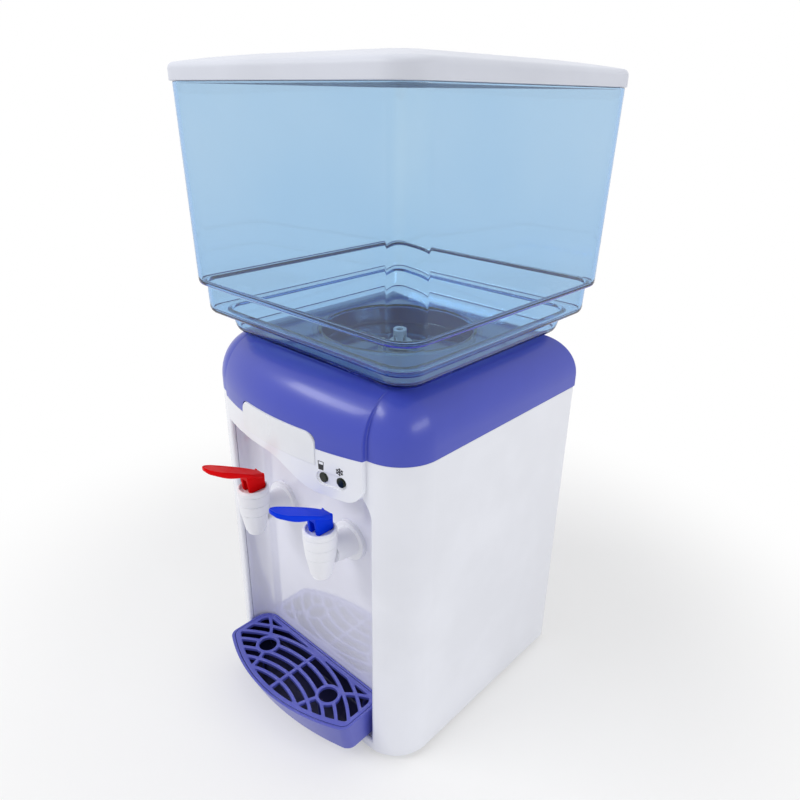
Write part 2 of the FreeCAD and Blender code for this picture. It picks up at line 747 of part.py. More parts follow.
def lamp_recess():
    """A shallow round-ended recess that follows the bow."""
    half = s.LampPitch / 2
    z = LAMP_Z
    slot = fuse("RecessSlot",
                rod("RecessLeft", s.RecessRadius, (FRONT - s.BowRise - 5, FRONT), "Y", (s.LampX - half, z)),
                rod("RecessRight", s.RecessRadius, (FRONT - s.BowRise - 5, FRONT), "Y", (s.LampX + half, z)),
                block("RecessMiddle", (s.LampX - half, s.LampX + half), (FRONT - s.BowRise - 5, FRONT),
                      (z - s.RecessRadius, z + s.RecessRadius)))
    span = (FASCIA_LOW, SEAM)
    skin = cut("RecessSkin", bow("RecessBow", Size.of(-0.5), span), bow("RecessFloor", s.LampRecess, span))
    return common("LampRecess", slot, skin)


def make_fascia():
    span = (FASCIA_LOW - 5, SEAM)
    tall = (SEAM - 1, SEAM + s.TabHeight + 5)
    wall = s.PanelWall
    flush = Size.of(0)
    front = common("FasciaFront", fascia_outline("FasciaOuter", flush, SEAM),
                   bow("FasciaBow", flush, span))
    hollow = common("FasciaHollow", fascia_outline("FasciaInner", wall, SEAM - wall),
                    bow("FasciaCore", wall, span))
    tab = cut("TabWall", common("TabSolid", tab_outline("Tab", flush, SEAM - 1), bow("TabBow", flush, tall)),
              bow("TabCore", wall, tall))
    z = LAMP_Z
    half = s.LampPitch / 2
    lamp_holes = [rod(f"LampHole{index}", s.LampRadius + s.Seat, (FRONT - s.BowRise - 5, FRONT), "Y",
                      (s.LampX + side * half, z)) for index, side in enumerate((-1, 1))]
    body = fuse("FasciaBody", cut("FasciaShell", front, hollow), tab)
    finish(cut("Fascia", body, lamp_recess(), *lamp_holes), "fascia_panel")

    skin = (SEAM - s.PlateDrop - 5, SEAM + s.TabHeight + 5)
    plate = common("PlateSolid", tab_outline("Plate", -s.Gap, SEAM - s.PlateDrop),
                   bow("PlateBow", -s.PlateThickness, skin))
    finish(cut("PlateSkin", plate, bow("PlateBack", -s.Seat, skin)), "raised_plate")

    board = (FRONT - s.BoardThickness, FRONT)
    for label, side in (("power_lens", -1), ("cooling_lens", 1)):
        x = s.LampX + side * half
        stand = FRONT - s.BowRise + (s.BowRise - s.BowEdge) * x * x / (s.FasciaWidth * s.FasciaWidth / 4)
        lens = rod(label.title(), s.LampRadius, (stand + s.LampRecess / 4, board[0]), "Y", (x, z))
        finish(lens, label)
    circuit = block("LampBoard", (s.LampX - s.LampPitch * 1.1, s.LampX + s.LampPitch * 1.1), board,
                    (z - s.LampPitch * 0.45, z + s.LampPitch * 0.6))
    finish(circuit, "indicator_board")


# ---------------------------------------------------------------------------------------------
# Cover with the tank's well
# ---------------------------------------------------------------------------------------------
def pillow(name, inset):
    """The cover's rounded shape, drawn in by an inset."""
    bottom = SEAM if float(inset) == 0 else SEAM - 1
    height = COVER_TOP - inset - bottom
    radius = s.CoverRound - inset
    main = new_body(name + "Main")
    side = SIDE - inset
    plan = rounded(new_sketch(main, name + "Plan", offset=bottom), (-side, side),
                   (FRONT + inset, REAR - inset), s.CornerRadius - inset, 1)
    solid = pad(main, plan, height)
    top = float(COVER_TOP - inset)

    def crown(edge):
        box = edge.BoundBox
        flat = abs(box.ZMin - top) < 1e-4 and abs(box.ZMax - top) < 1e-4
        return flat and box.YMin < float(REAR) - float(inset) - 3

    fillet(main, solid, radius, crown)
    bulge = bow_to_middle(name + "Bulge", inset, bottom, height)
    soft = fillet(bulge, bulge.Tip, radius + s.BowEdge * 0.5, edges_near((0, FRONT - s.BowRise + inset, top)))
    bulge.Tip = soft
    return fuse(name, main, bulge)


def bow_to_middle(name, inset, bottom, height):
    """The bowed front carried back to the middle of the cover."""
    body = new_body(name)
    half = s.FasciaWidth / 2 - inset
    edge = FRONT - s.BowEdge + inset
    sketch = new_sketch(body, name + "Plan", offset=bottom)
    outline(sketch, [(-half, 0), (-half, edge), (half, edge), (half, 0)],
            {1: (0, FRONT - s.BowRise + inset)})
    pad(body, sketch, height)
    return body


def make_cover():
    outer = pillow("CoverOuter", Size.of(0))
    inner = pillow("CoverInner", s.ShellWall)
    at = (0, TANK_Y)
    floor = COVER_TOP - s.WellDepth
    cup = rod("WellCup", s.WellRadius + s.PanelWall,
              (floor - s.PanelWall, COVER_TOP - s.ShellWall / 2), at=at)
    skin = fuse("CoverSkin", cut("CoverShell", outer, inner), cup)
    well = rod("WellRoom", s.WellRadius, (floor, COVER_TOP + 1), at=at)
    drain = rod("WellDrain", s.TailRadius + s.Seat, (floor - s.PanelWall - 1, floor + 1), at=at)
    tall = (SEAM - 2, SEAM + s.TabHeight + 5)
    notch_front = tab_outline("Notch", s.Gap / 2, SEAM - 2)
    notch = cut("NotchWall", common("NotchSolid", notch_front, bow("NotchBow", Size.of(-1), tall)),
                bow("NotchCore", s.PanelWall + s.Gap, tall))
    finish(cut("Cover", skin, well, drain, notch), "top_cover")


def make_probe():
    """A spigot in the well: its tip opens the tank's valve, its tail feeds the hoses."""
    floor = COVER_TOP - s.WellDepth
    tip = SUMP_FLOOR - 3
    low = floor - s.PanelWall - s.TailLength
    profile = [(s.ProbeBore, low), (s.TailRadius, low), (s.TailRadius, floor), (s.ProbeFlange, floor),
               (s.ProbeFlange, floor + s.PanelWall), (s.ProbeTip, floor + s.PanelWall),
               (s.ProbeTip, tip - 1), (s.ProbeTip - 0.8, tip), (s.ProbeBore, tip)]
    finish(turned("Probe", profile), "feed_probe", y=TANK_Y)


# ---------------------------------------------------------------------------------------------
# Tank, lid and the tank's valve
# ---------------------------------------------------------------------------------------------
SUMP_FLOOR = TANK_BOTTOM - s.SumpDepth + s.TankWall
TANK_TOP = TANK_BOTTOM + s.TankFootHeight + s.TankBeltHeight + s.TankHeight


def tank_stage(name, low, high, width, depth, flare, inset):
    """One stage of the tank: it widens upwards by its flare on each side."""
    body = new_body(name)
    radius = s.TankCorner - inset
    x, y = width / 2 - inset, depth / 2 - inset
    sketches = [rounded(new_sketch(body, name + "Low", offset=low), (-x, x), (-y, y), radius),
                rounded(new_sketch(body, name + "High", offset=high), (-x - flare, x + flare),
                        (-y - flare, y + flare), radius)]
    loft("PartDesign::AdditiveLoft", body, sketches)
    return body


def tank_shape(name, inset):
    """The tank's three stages and its sump, drawn in by an inset."""
    foot = TANK_BOTTOM + inset
    belt = TANK_BOTTOM + s.TankFootHeight + inset
    main = TANK_BOTTOM + s.TankFootHeight + s.TankBeltHeight + inset
    top = TANK_TOP + (0 if float(inset) == 0 else 1)
    stages = [
        tank_stage(name + "Foot", foot, belt, s.TankFootWidth, s.TankFootDepth, s.TankFootFlare, inset),
        tank_stage(name + "Belt", belt, main, s.TankBeltWidth, s.TankBeltDepth, Size.of(0.6), inset),
        tank_stage(name + "Upper", main, top, s.TankWidth, s.TankDepth, s.TankFlare, inset),
        rod(name + "Sump", s.SumpRadius - inset, (TANK_BOTTOM - s.SumpDepth + inset, foot + 1)),
    ]
    return fuse(name, *stages)


def make_tank():
    outer = tank_shape("TankOuter", Size.of(0))
    inner = tank_shape("TankInner", s.TankWall)
    outlet = rod("TankOutlet", s.NeckRadius + s.Seat, (TANK_BOTTOM - s.SumpDepth - 1, SUMP_FLOOR + 1))
    finish(cut("Tank", outer, inner, outlet), "water_tank", y=TANK_Y)


def make_valve():
    floor = SUMP_FLOOR
    flange = floor + s.PanelWall
    neck = floor - s.TankWall - s.NutHeight
    top = floor + s.CageHeight
    bore = s.CageRadius - s.CageWall
    profile = [(s.OutletRadius, neck), (s.NeckRadius, neck), (s.NeckRadius, floor),
               (s.CageRadius + 6, floor), (s.CageRadius + 6, flange), (s.CageRadius, flange),
               (s.CageRadius, top), (bore - 1.6, top), (bore - 1.6, top - s.CageWall),
               (bore, top - s.CageWall), (bore, flange), (s.OutletRadius, flange)]
    cage = turned("Cage", profile)
    windows = [block(f"CageWindow{index}", *spans) for index, spans in enumerate((
        ((-s.CageRadius - 1, s.CageRadius + 1), (-2, 2), (flange + 1.5, top - s.CageWall - 1.5)),
        ((-2, 2), (-s.CageRadius - 1, s.CageRadius + 1), (flange + 1.5, top - s.CageWall - 1.5))))]
    finish(cut("ValveBody", cage, *windows), "tank_valve_body", y=TANK_Y)

    nut = ring("OutletNut", s.NutRadius, s.NeckRadius + s.Seat, (neck, floor - s.TankWall))
    grips = [rod(f"NutGrip{index}", 2.4, (neck - 1, floor - s.TankWall + 1),
                 at=(s.NutRadius * math.cos(math.radians(60 * index)),
                     s.NutRadius * math.sin(math.radians(60 * index)))) for index in range(6)]
    finish(cut("GripNut", nut, *grips), "tank_outlet_nut", y=TANK_Y)

    disc = flange + s.Gap + s.ValveLift
    tip = SUMP_FLOOR - 3 + s.Gap
    plunger = turned("Plunger", [(0, tip), (s.ProbeBore, tip), (s.ProbeBore, disc), (bore - s.Gap, disc),
                                 (bore - s.Gap, disc + 1.5), (0, disc + 1.5)])
    finish(plunger, "tank_valve_plunger", y=TANK_Y)
    spring = coil("ValveSpring", bore - 1.4, 0.35, disc + 1.5 + s.Seat, top - s.CageWall - s.Seat, 3)
    finish(spring, "tank_valve_spring", y=TANK_Y)


def feature(name, shape, x=0, y=0, z=0):
    """A piece whose shape is set directly, with its Placement set after its shape."""
    item = doc.addObject("Part::Feature", name)
    item.Shape = shape
    return place(item, x, y, z)


def coil(name, radius, wire, low, high, turns):
    """A compression spring: a round wire swept along a helix between two levels."""
    height = float(high) - float(low) - 2 * wire
    helix = Part.makeHelix(height / turns, height, float(radius))
    start = helix.Edges[0]
    heading = start.tangentAt(start.FirstParameter)
    section = Part.Wire([Part.makeCircle(wire, Vector(float(radius), 0, 0), heading)])
    return feature(name, Part.Wire(helix.Edges).makePipeShell([section], True, True), z=low + wire)


def dome_plans(body, name, x, y, margin, level):
    """Rounded plans that shrink as they rise, quickly at first and then flat."""
    plans = []
    steps = 5
    for index in range(steps):
        share = index / (steps - 1)
        inset = margin + (s.LidWidth / 2 - s.LidCorner * 2) * share
        plan = new_sketch(body, f"{name}{index}", offset=level + s.LidRise * (1 - (1 - share) ** 2))
        rounded(plan, (inset - x, x - inset), (inset - y, y - inset), s.LidCorner - s.LidRound)
        plans.append(plan)
    return plans


def make_lid():
    body = new_body("Lid")
    low = TANK_TOP + s.Gap
    x, y = s.LidWidth / 2, s.LidDepth / 2
    base = pad(body, rounded(new_sketch(body, "LidPlan", offset=low), (-x, x), (-y, y), s.LidCorner),
               s.LidSkirt + s.LidRound)
    rim = low + s.LidSkirt + s.LidRound
    fillet(body, base, s.LidRound, level_at(rim))
    loft("PartDesign::AdditiveLoft", body, dome_plans(body, "Dome", x, y, s.LidRound, rim))
    hollow = rounded(new_sketch(body, "LidHollow", offset=low),
                     (s.LidWall * 5 - x, x - s.LidWall * 5), (s.LidWall * 5 - y, y - s.LidWall * 5),
                     s.LidCorner - s.LidWall * 3)
    pocket(body, hollow, s.LidSkirt + s.LidRound - s.LidWall, reverse=True)
    loft("PartDesign::SubtractiveLoft", body, dome_plans(body, "Vault", x, y, s.LidWall * 6, rim - s.LidWall))
    plug_x = s.TankWidth / 2 + s.TankFlare - s.TankWall - s.Gap * 2
    plug_y = s.TankDepth / 2 + s.TankFlare - s.TankWall - s.Gap * 2
    plug = new_sketch(body, "LidPlugPlan", offset=low)
    corner = s.TankCorner - s.TankWall
    rounded(plug, (-plug_x, plug_x), (-plug_y, plug_y), corner)
    wall = s.LidWall
    rounded(plug, (wall - plug_x, plug_x - wall), (wall - plug_y, plug_y - wall), corner - wall)
    pad(body, plug, s.LidPlug, reverse=True)
    finish(body, "tank_lid", y=TANK_Y)


# ---------------------------------------------------------------------------------------------
# Taps: body, bonnet, stem with seal, spring, lever; the same on both sides
# ---------------------------------------------------------------------------------------------
SEAT_Z = BASE + s.SpoutBottom + 7.8
CHAMBER_TOP = BARREL_TOP - 9
CAP_TOP = BARREL_TOP - 3
PIVOT_Z = CAP_TOP + s.Gap + 2
PIVOT_Y = TAP_Y - s.BlockLength / 2 + 2
PIN_Z = CAP_TOP + 7
STEM_TOP = PIN_Z + s.PinRadius + 1.6
# A pressed lever lifts the pin straight up while the pin slides back in the lever's slot
ARM = TAP_Y - PIVOT_Y
RISE = PIN_Z - PIVOT_Z
PIN_LIFT = (RISE + ARM * sine(s.PressAngle)) / cosine(s.PressAngle) - RISE
PIN_TRAVEL = (ARM + RISE * sine(s.PressAngle)) / cosine(s.PressAngle) - ARM
FORK_REAR = (PIVOT_Y + (ARM + s.StemRadius) * cosine(s.PressAngle)
             + (STEM_TOP - PIVOT_Z + PIN_LIFT) * sine(s.PressAngle) + s.Gap)


def make_tap(side, colour):
    x = side * TAP_X
    low = BASE + s.SpoutBottom
    ridge = (s.BarrelRadius - s.BarrelWaist) * 0.75 + s.BarrelWaist
    profile = [(s.SpoutBore, low), (s.SpoutRadius, low), (s.SpoutRadius, low + 2.8),
               (s.BarrelWaist, low + 3.4), (ridge, BARREL_TOP - 22), (s.BarrelRadius, BARREL_TOP - 9),
               (s.BarrelRadius, BARREL_TOP - 1.5), (s.BarrelRadius - 1.2, BARREL_TOP),
               (s.BarrelRadius - 2, BARREL_TOP), (s.BarrelRadius - 2, CHAMBER_TOP),
               (s.ChamberRadius, CHAMBER_TOP), (s.ChamberRadius, SEAT_Z), (s.SpoutBore, SEAT_Z)]
    barrel = turned(f"Barrel{colour}", profile)
    place(barrel, x, TAP_Y)
    neck_end = TAP_Y + s.ChamberRadius + 1
    neck = cone(f"Neck{colour}", (s.TapNeck - 1.5, s.TapNeck + 1), (neck_end, ALCOVE_BACK - 1), "Y",
                (x, TAP_Z))
    flange = rod(f"Flange{colour}", s.TapFlange, (ALCOVE_BACK - 3.2, ALCOVE_BACK), "Y", (x, TAP_Z))
    tail_end = ALCOVE_REAR + 12
    tail = rod(f"Tail{colour}", s.TailThread, (ALCOVE_BACK - 1, tail_end), "Y", (x, TAP_Z))
    barb = rod(f"Barb{colour}", s.BarbRadius, (tail_end - 1, tail_end + 14), "Y", (x, TAP_Z))
    inlet = rod(f"Inlet{colour}", s.InletBore, (TAP_Y + s.ChamberRadius - 2, tail_end + 15), "Y", (x, TAP_Z))
    solid = cut(f"TapBody{colour}", fuse(f"TapSolid{colour}", barrel, neck, flange, tail, barb), inlet)
    finish(solid, f"tap_body_{colour}")

    washer_end = ALCOVE_REAR + 1.5
    bore = s.TailThread + s.Seat
    nut = ring(f"TapNut{colour}", s.TailThread + 5, bore, (washer_end, ALCOVE_REAR + 8), "Y", (x, TAP_Z))
    finish(nut, f"tap_nut_{colour}")
    washer = ring(f"TapWasher{colour}", s.TailThread + 4, bore, (ALCOVE_REAR, washer_end), "Y", (x, TAP_Z))
    finish(washer, f"tap_washer_{colour}")

    hole, rim = s.StemRadius + s.Seat, s.BarrelRadius - 2 - s.Seat
    floor = CHAMBER_TOP + 0.02
    bonnet = turned(f"Bonnet{colour}", [(hole, floor), (rim, floor), (rim, CAP_TOP), (hole, CAP_TOP)])
    finish(bonnet, f"tap_bonnet_{colour}", x, TAP_Y)

    seal_top = SEAT_Z + s.Gap + 3
    seal = rod(f"Seal{colour}", s.ChamberRadius - 1.2, (SEAT_Z + s.Gap, seal_top), at=(x, TAP_Y))
    finish(seal, f"tap_seal_{colour}")
    reach = s.BlockWidth / 2 - 0.5
    stem = fuse(f"Stem{colour}",
                rod(f"StemRod{colour}", s.StemRadius, (seal_top, STEM_TOP), at=(x, TAP_Y)),
                rod(f"StemPin{colour}", s.PinRadius, (x - reach, x + reach), "X", (TAP_Y, PIN_Z)))
    finish(stem, f"tap_stem_{colour}")
    spring = coil(f"TapSpring{colour}", s.StemRadius + 2, 0.5, seal_top + s.Seat, CHAMBER_TOP - s.Seat, 5)
    finish(spring, f"tap_spring_{colour}", x, TAP_Y)


def make_lever(side, colour):
    """A sloping paddle on a forked block that rocks on the block's lower front edge."""
    x = side * TAP_X
    body = new_body(f"Lever{colour}")
    half = s.LeverWidth / 2
    front = TAP_Y - s.BlockLength / 2
    rear_z = PIN_Z + 5.5
    slope = s.LeverRise / s.LeverReach
    tip_z = rear_z + s.LeverRise
    under = front - LEVER_TIP
    sketch = new_sketch(body, f"LeverSide{colour}", "YZ_Plane", offset=x - half)
    outline(sketch, [
        (BLOCK_REAR, rear_z - s.LeverThickness), (BLOCK_REAR, rear_z),
        (LEVER_TIP + 3, tip_z - 1.2), (LEVER_TIP, tip_z - s.LeverThickness * 0.55),
        (LEVER_TIP + 2, tip_z - s.LeverThickness),
        (front - 1, tip_z - slope * under - s.LeverThickness * 1.1)],
        {4: (LEVER_TIP + under * 0.45, tip_z - slope * under * 0.45 - s.LeverThickness * 1.45)})
    pad(body, sketch, s.LeverWidth)
    plan_body = new_body(f"LeverPlan{colour}")
    plan = new_sketch(plan_body, f"LeverTop{colour}", offset=rear_z - s.LeverThickness - 3)
    narrow = s.BlockWidth / 2
    tip = half * 0.62
    outline(plan, [(x - narrow, BLOCK_REAR + 1), (x - half, front + 1), (x - half, LEVER_TIP + 18),
                   (x - tip, LEVER_TIP + 4), (x + tip, LEVER_TIP + 4), (x + half, LEVER_TIP + 18),
                   (x + half, front + 1), (x + narrow, BLOCK_REAR + 1)],
            {2: (x - half * 0.9, LEVER_TIP + 9.5), 3: (x, LEVER_TIP), 4: (x + half * 0.9, LEVER_TIP + 9.5)})
    pad(plan_body, plan, s.LeverRise + s.LeverThickness + 10)
    paddle = common(f"Paddle{colour}", body, plan_body)

    foot = new_body(f"LeverBlock{colour}")
    low = CAP_TOP + s.Gap
    cheek = new_sketch(foot, f"Cheek{colour}", "YZ_Plane", offset=x - s.BlockWidth / 2)
    corner = PIVOT_Y - front
    inset = 1 - math.sqrt(0.5)
    outline(cheek, [(BLOCK_REAR - 3, low), (BLOCK_REAR, low + 3), (BLOCK_REAR, rear_z),
                    (front - 2, tip_z - slope * (under - 2) - s.LeverThickness), (front, low + corner),
                    (PIVOT_Y, low)],
            {4: (front + corner * inset, low + corner * inset)})
    pad(foot, cheek, s.BlockWidth)
    room = s.StemRadius + s.Gap
    fork = block(f"Fork{colour}", (x - room, x + room), (front - 4, FORK_REAR), (low - 1, STEM_TOP + 1.6))
    wide = s.PinRadius + s.Gap
    across = (x - s.BlockWidth, x + s.BlockWidth)
    along = (TAP_Y - s.Gap, TAP_Y + PIN_TRAVEL + s.Gap)
    slot = fuse(f"PinSlot{colour}",
                rod(f"SlotFront{colour}", wide, across, "X", (along[0], PIN_Z)),
                rod(f"SlotRear{colour}", wide, across, "X", (along[1], PIN_Z)),
                block(f"SlotRoom{colour}", across, along, (PIN_Z - wide, PIN_Z + wide)))
    solid = cut(f"LeverSolid{colour}", fuse(f"LeverRaw{colour}", paddle, foot), fork, slot)
    finish(solid, f"lever_{colour}")


# ---------------------------------------------------------------------------------------------
# Drip tray and grille
# ---------------------------------------------------------------------------------------------
TRAY_BACK = ALCOVE_BACK - s.Gap
TRAY_BOTTOM = ALCOVE_FLOOR + s.Gap
TRAY_TOP = BASE + s.TrayRim


def tray_wire(level, inset, lean):
    """Plan of the tray: rounded rear corners, straight sides, a bowed front that leans back."""
    half = float(s.TrayWidth) / 2 - inset
    back = float(TRAY_BACK) - inset
    side = float(FRONT - s.TraySide) + inset + lean * 0.4
    middle = float(FRONT - s.TrayReach) + inset + lean
    rear = float(s.TrayRear) - inset
    corner = float(s.TrayCorner) - inset
    rise = side - middle
    bend = (half * half + rise * rise) / (2 * rise)
    centre = Vector(0, middle + bend, level)
    pivot = Vector(half - corner, centre.y - math.sqrt((bend - corner) ** 2 - (half - corner) ** 2), level)
    outward = (pivot - centre).normalize()
    touch = centre + outward * bend
    halfway = pivot + (outward + Vector(1, 0, 0)).normalize() * corner
    slant = rear * (1 - math.sqrt(0.5))

    def mirror(spot):
        return Vector(-spot.x, spot.y, spot.z)

    straight = Vector(half, pivot.y, level)
    bent = Vector(half, back - rear, level)
    flat = Vector(half - rear, back, level)
    bulge = Vector(half - slant, back - slant, level)
    edges = [
        Part.Arc(mirror(touch), Vector(0, middle, level), touch),
        Part.Arc(touch, halfway, straight),
        Part.LineSegment(straight, bent),
        Part.Arc(bent, bulge, flat),
        Part.LineSegment(flat, mirror(flat)),
        Part.Arc(mirror(flat), mirror(bulge), mirror(bent)),
        Part.LineSegment(mirror(bent), mirror(straight)),
        Part.Arc(mirror(straight), mirror(halfway), mirror(touch)),
    ]
    return Part.Wire([edge.toShape() for edge in edges])


def tray_solid(name, low, high, inset):
    """A slice of the tray's outer shape, or of its inside when drawn in by an inset."""
    wires = [tray_wire(float(level), float(inset), lean_at(float(level))) for level in (low, high)]
    return feature(name, Part.makeLoft(wires, True, True))


def lean_at(level):
    """How far the tray's front lies behind the rim at a level."""
    return float(s.TrayTaper) * (float(TRAY_TOP) - level) / float(TRAY_TOP - TRAY_BOTTOM)


def make_tray():
    outer = tray_solid("TrayOuter", TRAY_BOTTOM, TRAY_TOP, 0)
    floor = TRAY_BOTTOM + s.TrayWall
    inner = tray_solid("TrayInner", floor, TRAY_TOP + 1, s.TrayWall)
    ledge_z = TRAY_TOP - s.GrilleThickness - s.Gap
    tongues = []
    low = TONGUE_Z
    for index, x in enumerate(tongue_spots()):
        half = s.TongueWidth / 2
        tongues.append(block(f"Tongue{index}", (x - half, x + half),
                             (TRAY_BACK - s.TrayWall / 2, TRAY_BACK + s.TongueLength),
                             (low, low + s.TongueHeight)))
    wide, deep = s.TrayWidth / 2 - s.TrayRear, TRAY_BACK - s.TrayRear * 0.6
    spots = [(-wide, deep), (wide, deep),
             (-s.TrayWidth / 4, FRONT - s.TraySide * 2 / 3), (s.TrayWidth / 4, FRONT - s.TraySide * 2 / 3)]
    rests = [rod(f"Rest{index}", 2.2, (floor - s.TrayWall / 2, ledge_z), at=spot)
             for index, spot in enumerate(spots)]
    finish(fuse("Tray", cut("TrayShell", outer, inner), *tongues, *rests), "drip_tray")


def make_grille():
    low = TRAY_TOP - s.GrilleThickness
    gap = s.TrayWall + s.Gap
    plate = tray_solid("GrillePlate", low, TRAY_TOP, gap)
    window = tray_solid("GrilleWindow", low - 1, TRAY_TOP + 1, gap + s.GrilleBorder)
    centre = FRONT - s.RibCentre
    span = (low, TRAY_TOP)
    half = s.RibWidth / 2
    ribs = []
    for index in range(int(float(s.RibCount))):
        radius = s.RibFirst + s.RibPitch * index
        ribs.append(ring(f"Arc{index}", radius + half, radius - half, span, at=(0, centre)))
    ribs.append(block("MiddleSpoke", (-half, half), (FRONT - s.TrayReach, TRAY_BACK), span))
    drain_y = TAP_Y + s.RibWidth * 0.5
    for index, x in enumerate((-TAP_X, TAP_X)):
        ribs.append(rod(f"DrainRing{index}", s.DrainRadius + s.RibWidth, span, at=(x, drain_y)))
        bend = s.TrayWidth * 0.45
        side = 1 if float(x) > 0 else -1
        hub = (x + side * bend * 0.82, drain_y - bend * 0.58)
        ribs.append(ring(f"SideSpoke{index}", bend + half, bend - half, span, at=hub))
    web = common("GrilleWeb", fuse("GrilleRibs", *ribs), window)
    drains = [rod(f"Drain{index}", s.DrainRadius, (low - 1, TRAY_TOP + 1), at=(x, drain_y))
              for index, x in enumerate((-TAP_X, TAP_X))]
    finish(cut("Grille", fuse("GrilleWhole", cut("GrilleFrame", plate, window), web), *drains), "drip_grille")


# ---------------------------------------------------------------------------------------------
# Cooling: reservoir, insulation, cold block, module, heat sink, fan, hoses
# ---------------------------------------------------------------------------------------------
RESERVOIR_LOW = BASE + s.ReservoirBottom
RESERVOIR_TOP = RESERVOIR_LOW + s.ReservoirHeight
COOL_Z = (RESERVOIR_LOW + RESERVOIR_TOP) / 2
FOAM_RADIUS = s.ReservoirRadius + s.Gap + s.FoamThickness
BLOCK_FACE = TANK_Y + s.ColdBlockRear
SINK_FACE = BLOCK_FACE + s.ModuleThickness
FIN_FACE = SINK_FACE + s.SinkBase
FAN_FACE = FIN_FACE + s.FinLength
FAN_REAR = FAN_FACE + s.FanThickness
BRANCH_Z = RESERVOIR_TOP + s.FoamThickness + 14
HOSE_Y = ALCOVE_REAR + 46
OUTLET_Z = RESERVOIR_LOW - s.FoamThickness - 22


def make_reservoir():
    """A closed steel pot with a water inlet on top and a cold outlet below."""
    at = (0, TANK_Y)
    wall = s.ReservoirWall
    stub = s.BarbRadius
    pot = fuse("PotSolid", rod("PotOuter", s.ReservoirRadius, (RESERVOIR_LOW, RESERVOIR_TOP), at=at),
               rod("PotInlet", stub, (RESERVOIR_TOP - wall, RESERVOIR_TOP + s.FoamThickness + 9), at=at),
               rod("PotOutlet", stub, (RESERVOIR_LOW - s.FoamThickness - 10, RESERVOIR_LOW + wall), at=at))
    room = rod("PotRoom", s.ReservoirRadius - wall, (RESERVOIR_LOW + wall, RESERVOIR_TOP - wall), at=at)
    bore = rod("PotBore", s.InletBore, (RESERVOIR_LOW - s.FoamThickness - 11,
                                       RESERVOIR_TOP + s.FoamThickness + 10), at=at)
    finish(cut("Pot", pot, room, bore), "cold_reservoir")

    thick = s.FoamThickness
    span = (RESERVOIR_LOW - thick, RESERVOIR_TOP + thick)
    foam = rod("FoamOuter", FOAM_RADIUS, span, at=at)
    cavity = rod("FoamRoom", s.ReservoirRadius + s.Gap, (RESERVOIR_LOW - s.Gap, RESERVOIR_TOP + s.Gap), at=at)
    passage = rod("FoamPassage", stub + s.Gap, (span[0] - 1, span[1] + 1), at=at)
    half = s.ColdBlockWidth / 2 + s.Gap
    tall = s.ColdBlockHeight / 2 + s.Gap
    window = block("FoamWindow", (-half, half), (TANK_Y, TANK_Y + FOAM_RADIUS + 1),
                   (COOL_Z - tall, COOL_Z + tall))
    shell = cut("Foam", foam, cavity, passage, window)
    wide = FOAM_RADIUS + 1
    high = (span[0] - 1, span[1] + 1)
    front = block("FoamFrontHalf", (-wide, wide), (TANK_Y - wide, TANK_Y - s.Gap / 2), high)
    rear = block("FoamRearHalf", (-wide, wide), (TANK_Y + s.Gap / 2, TANK_Y + wide), high)
    finish(common("FoamFront", shell, front), "insulation_front")
    finish(common("FoamRear", shell, rear), "insulation_rear")

    plate_low = span[0] - 4
    legs = []
    for index in range(3):
        angle = math.radians(90 + 120 * index)
        reach = FOAM_RADIUS - s.BossRadius * 2
        spot = (reach * math.cos(angle), TANK_Y + reach * math.sin(angle))
        low = BASE + s.PanelWall
        legs.append(rod(f"StandLeg{index}", s.BossRadius, (low, plate_low + 1), at=spot))
        legs.append(rod(f"StandPad{index}", s.BossRadius * 2, (low, low + s.PanelWall), at=spot))
    deck = ring("StandDeck", FOAM_RADIUS, s.BarbRadius * 3, (plate_low, span[0]), at=at)
    finish(fuse("Stand", deck, *legs), "reservoir_stand")


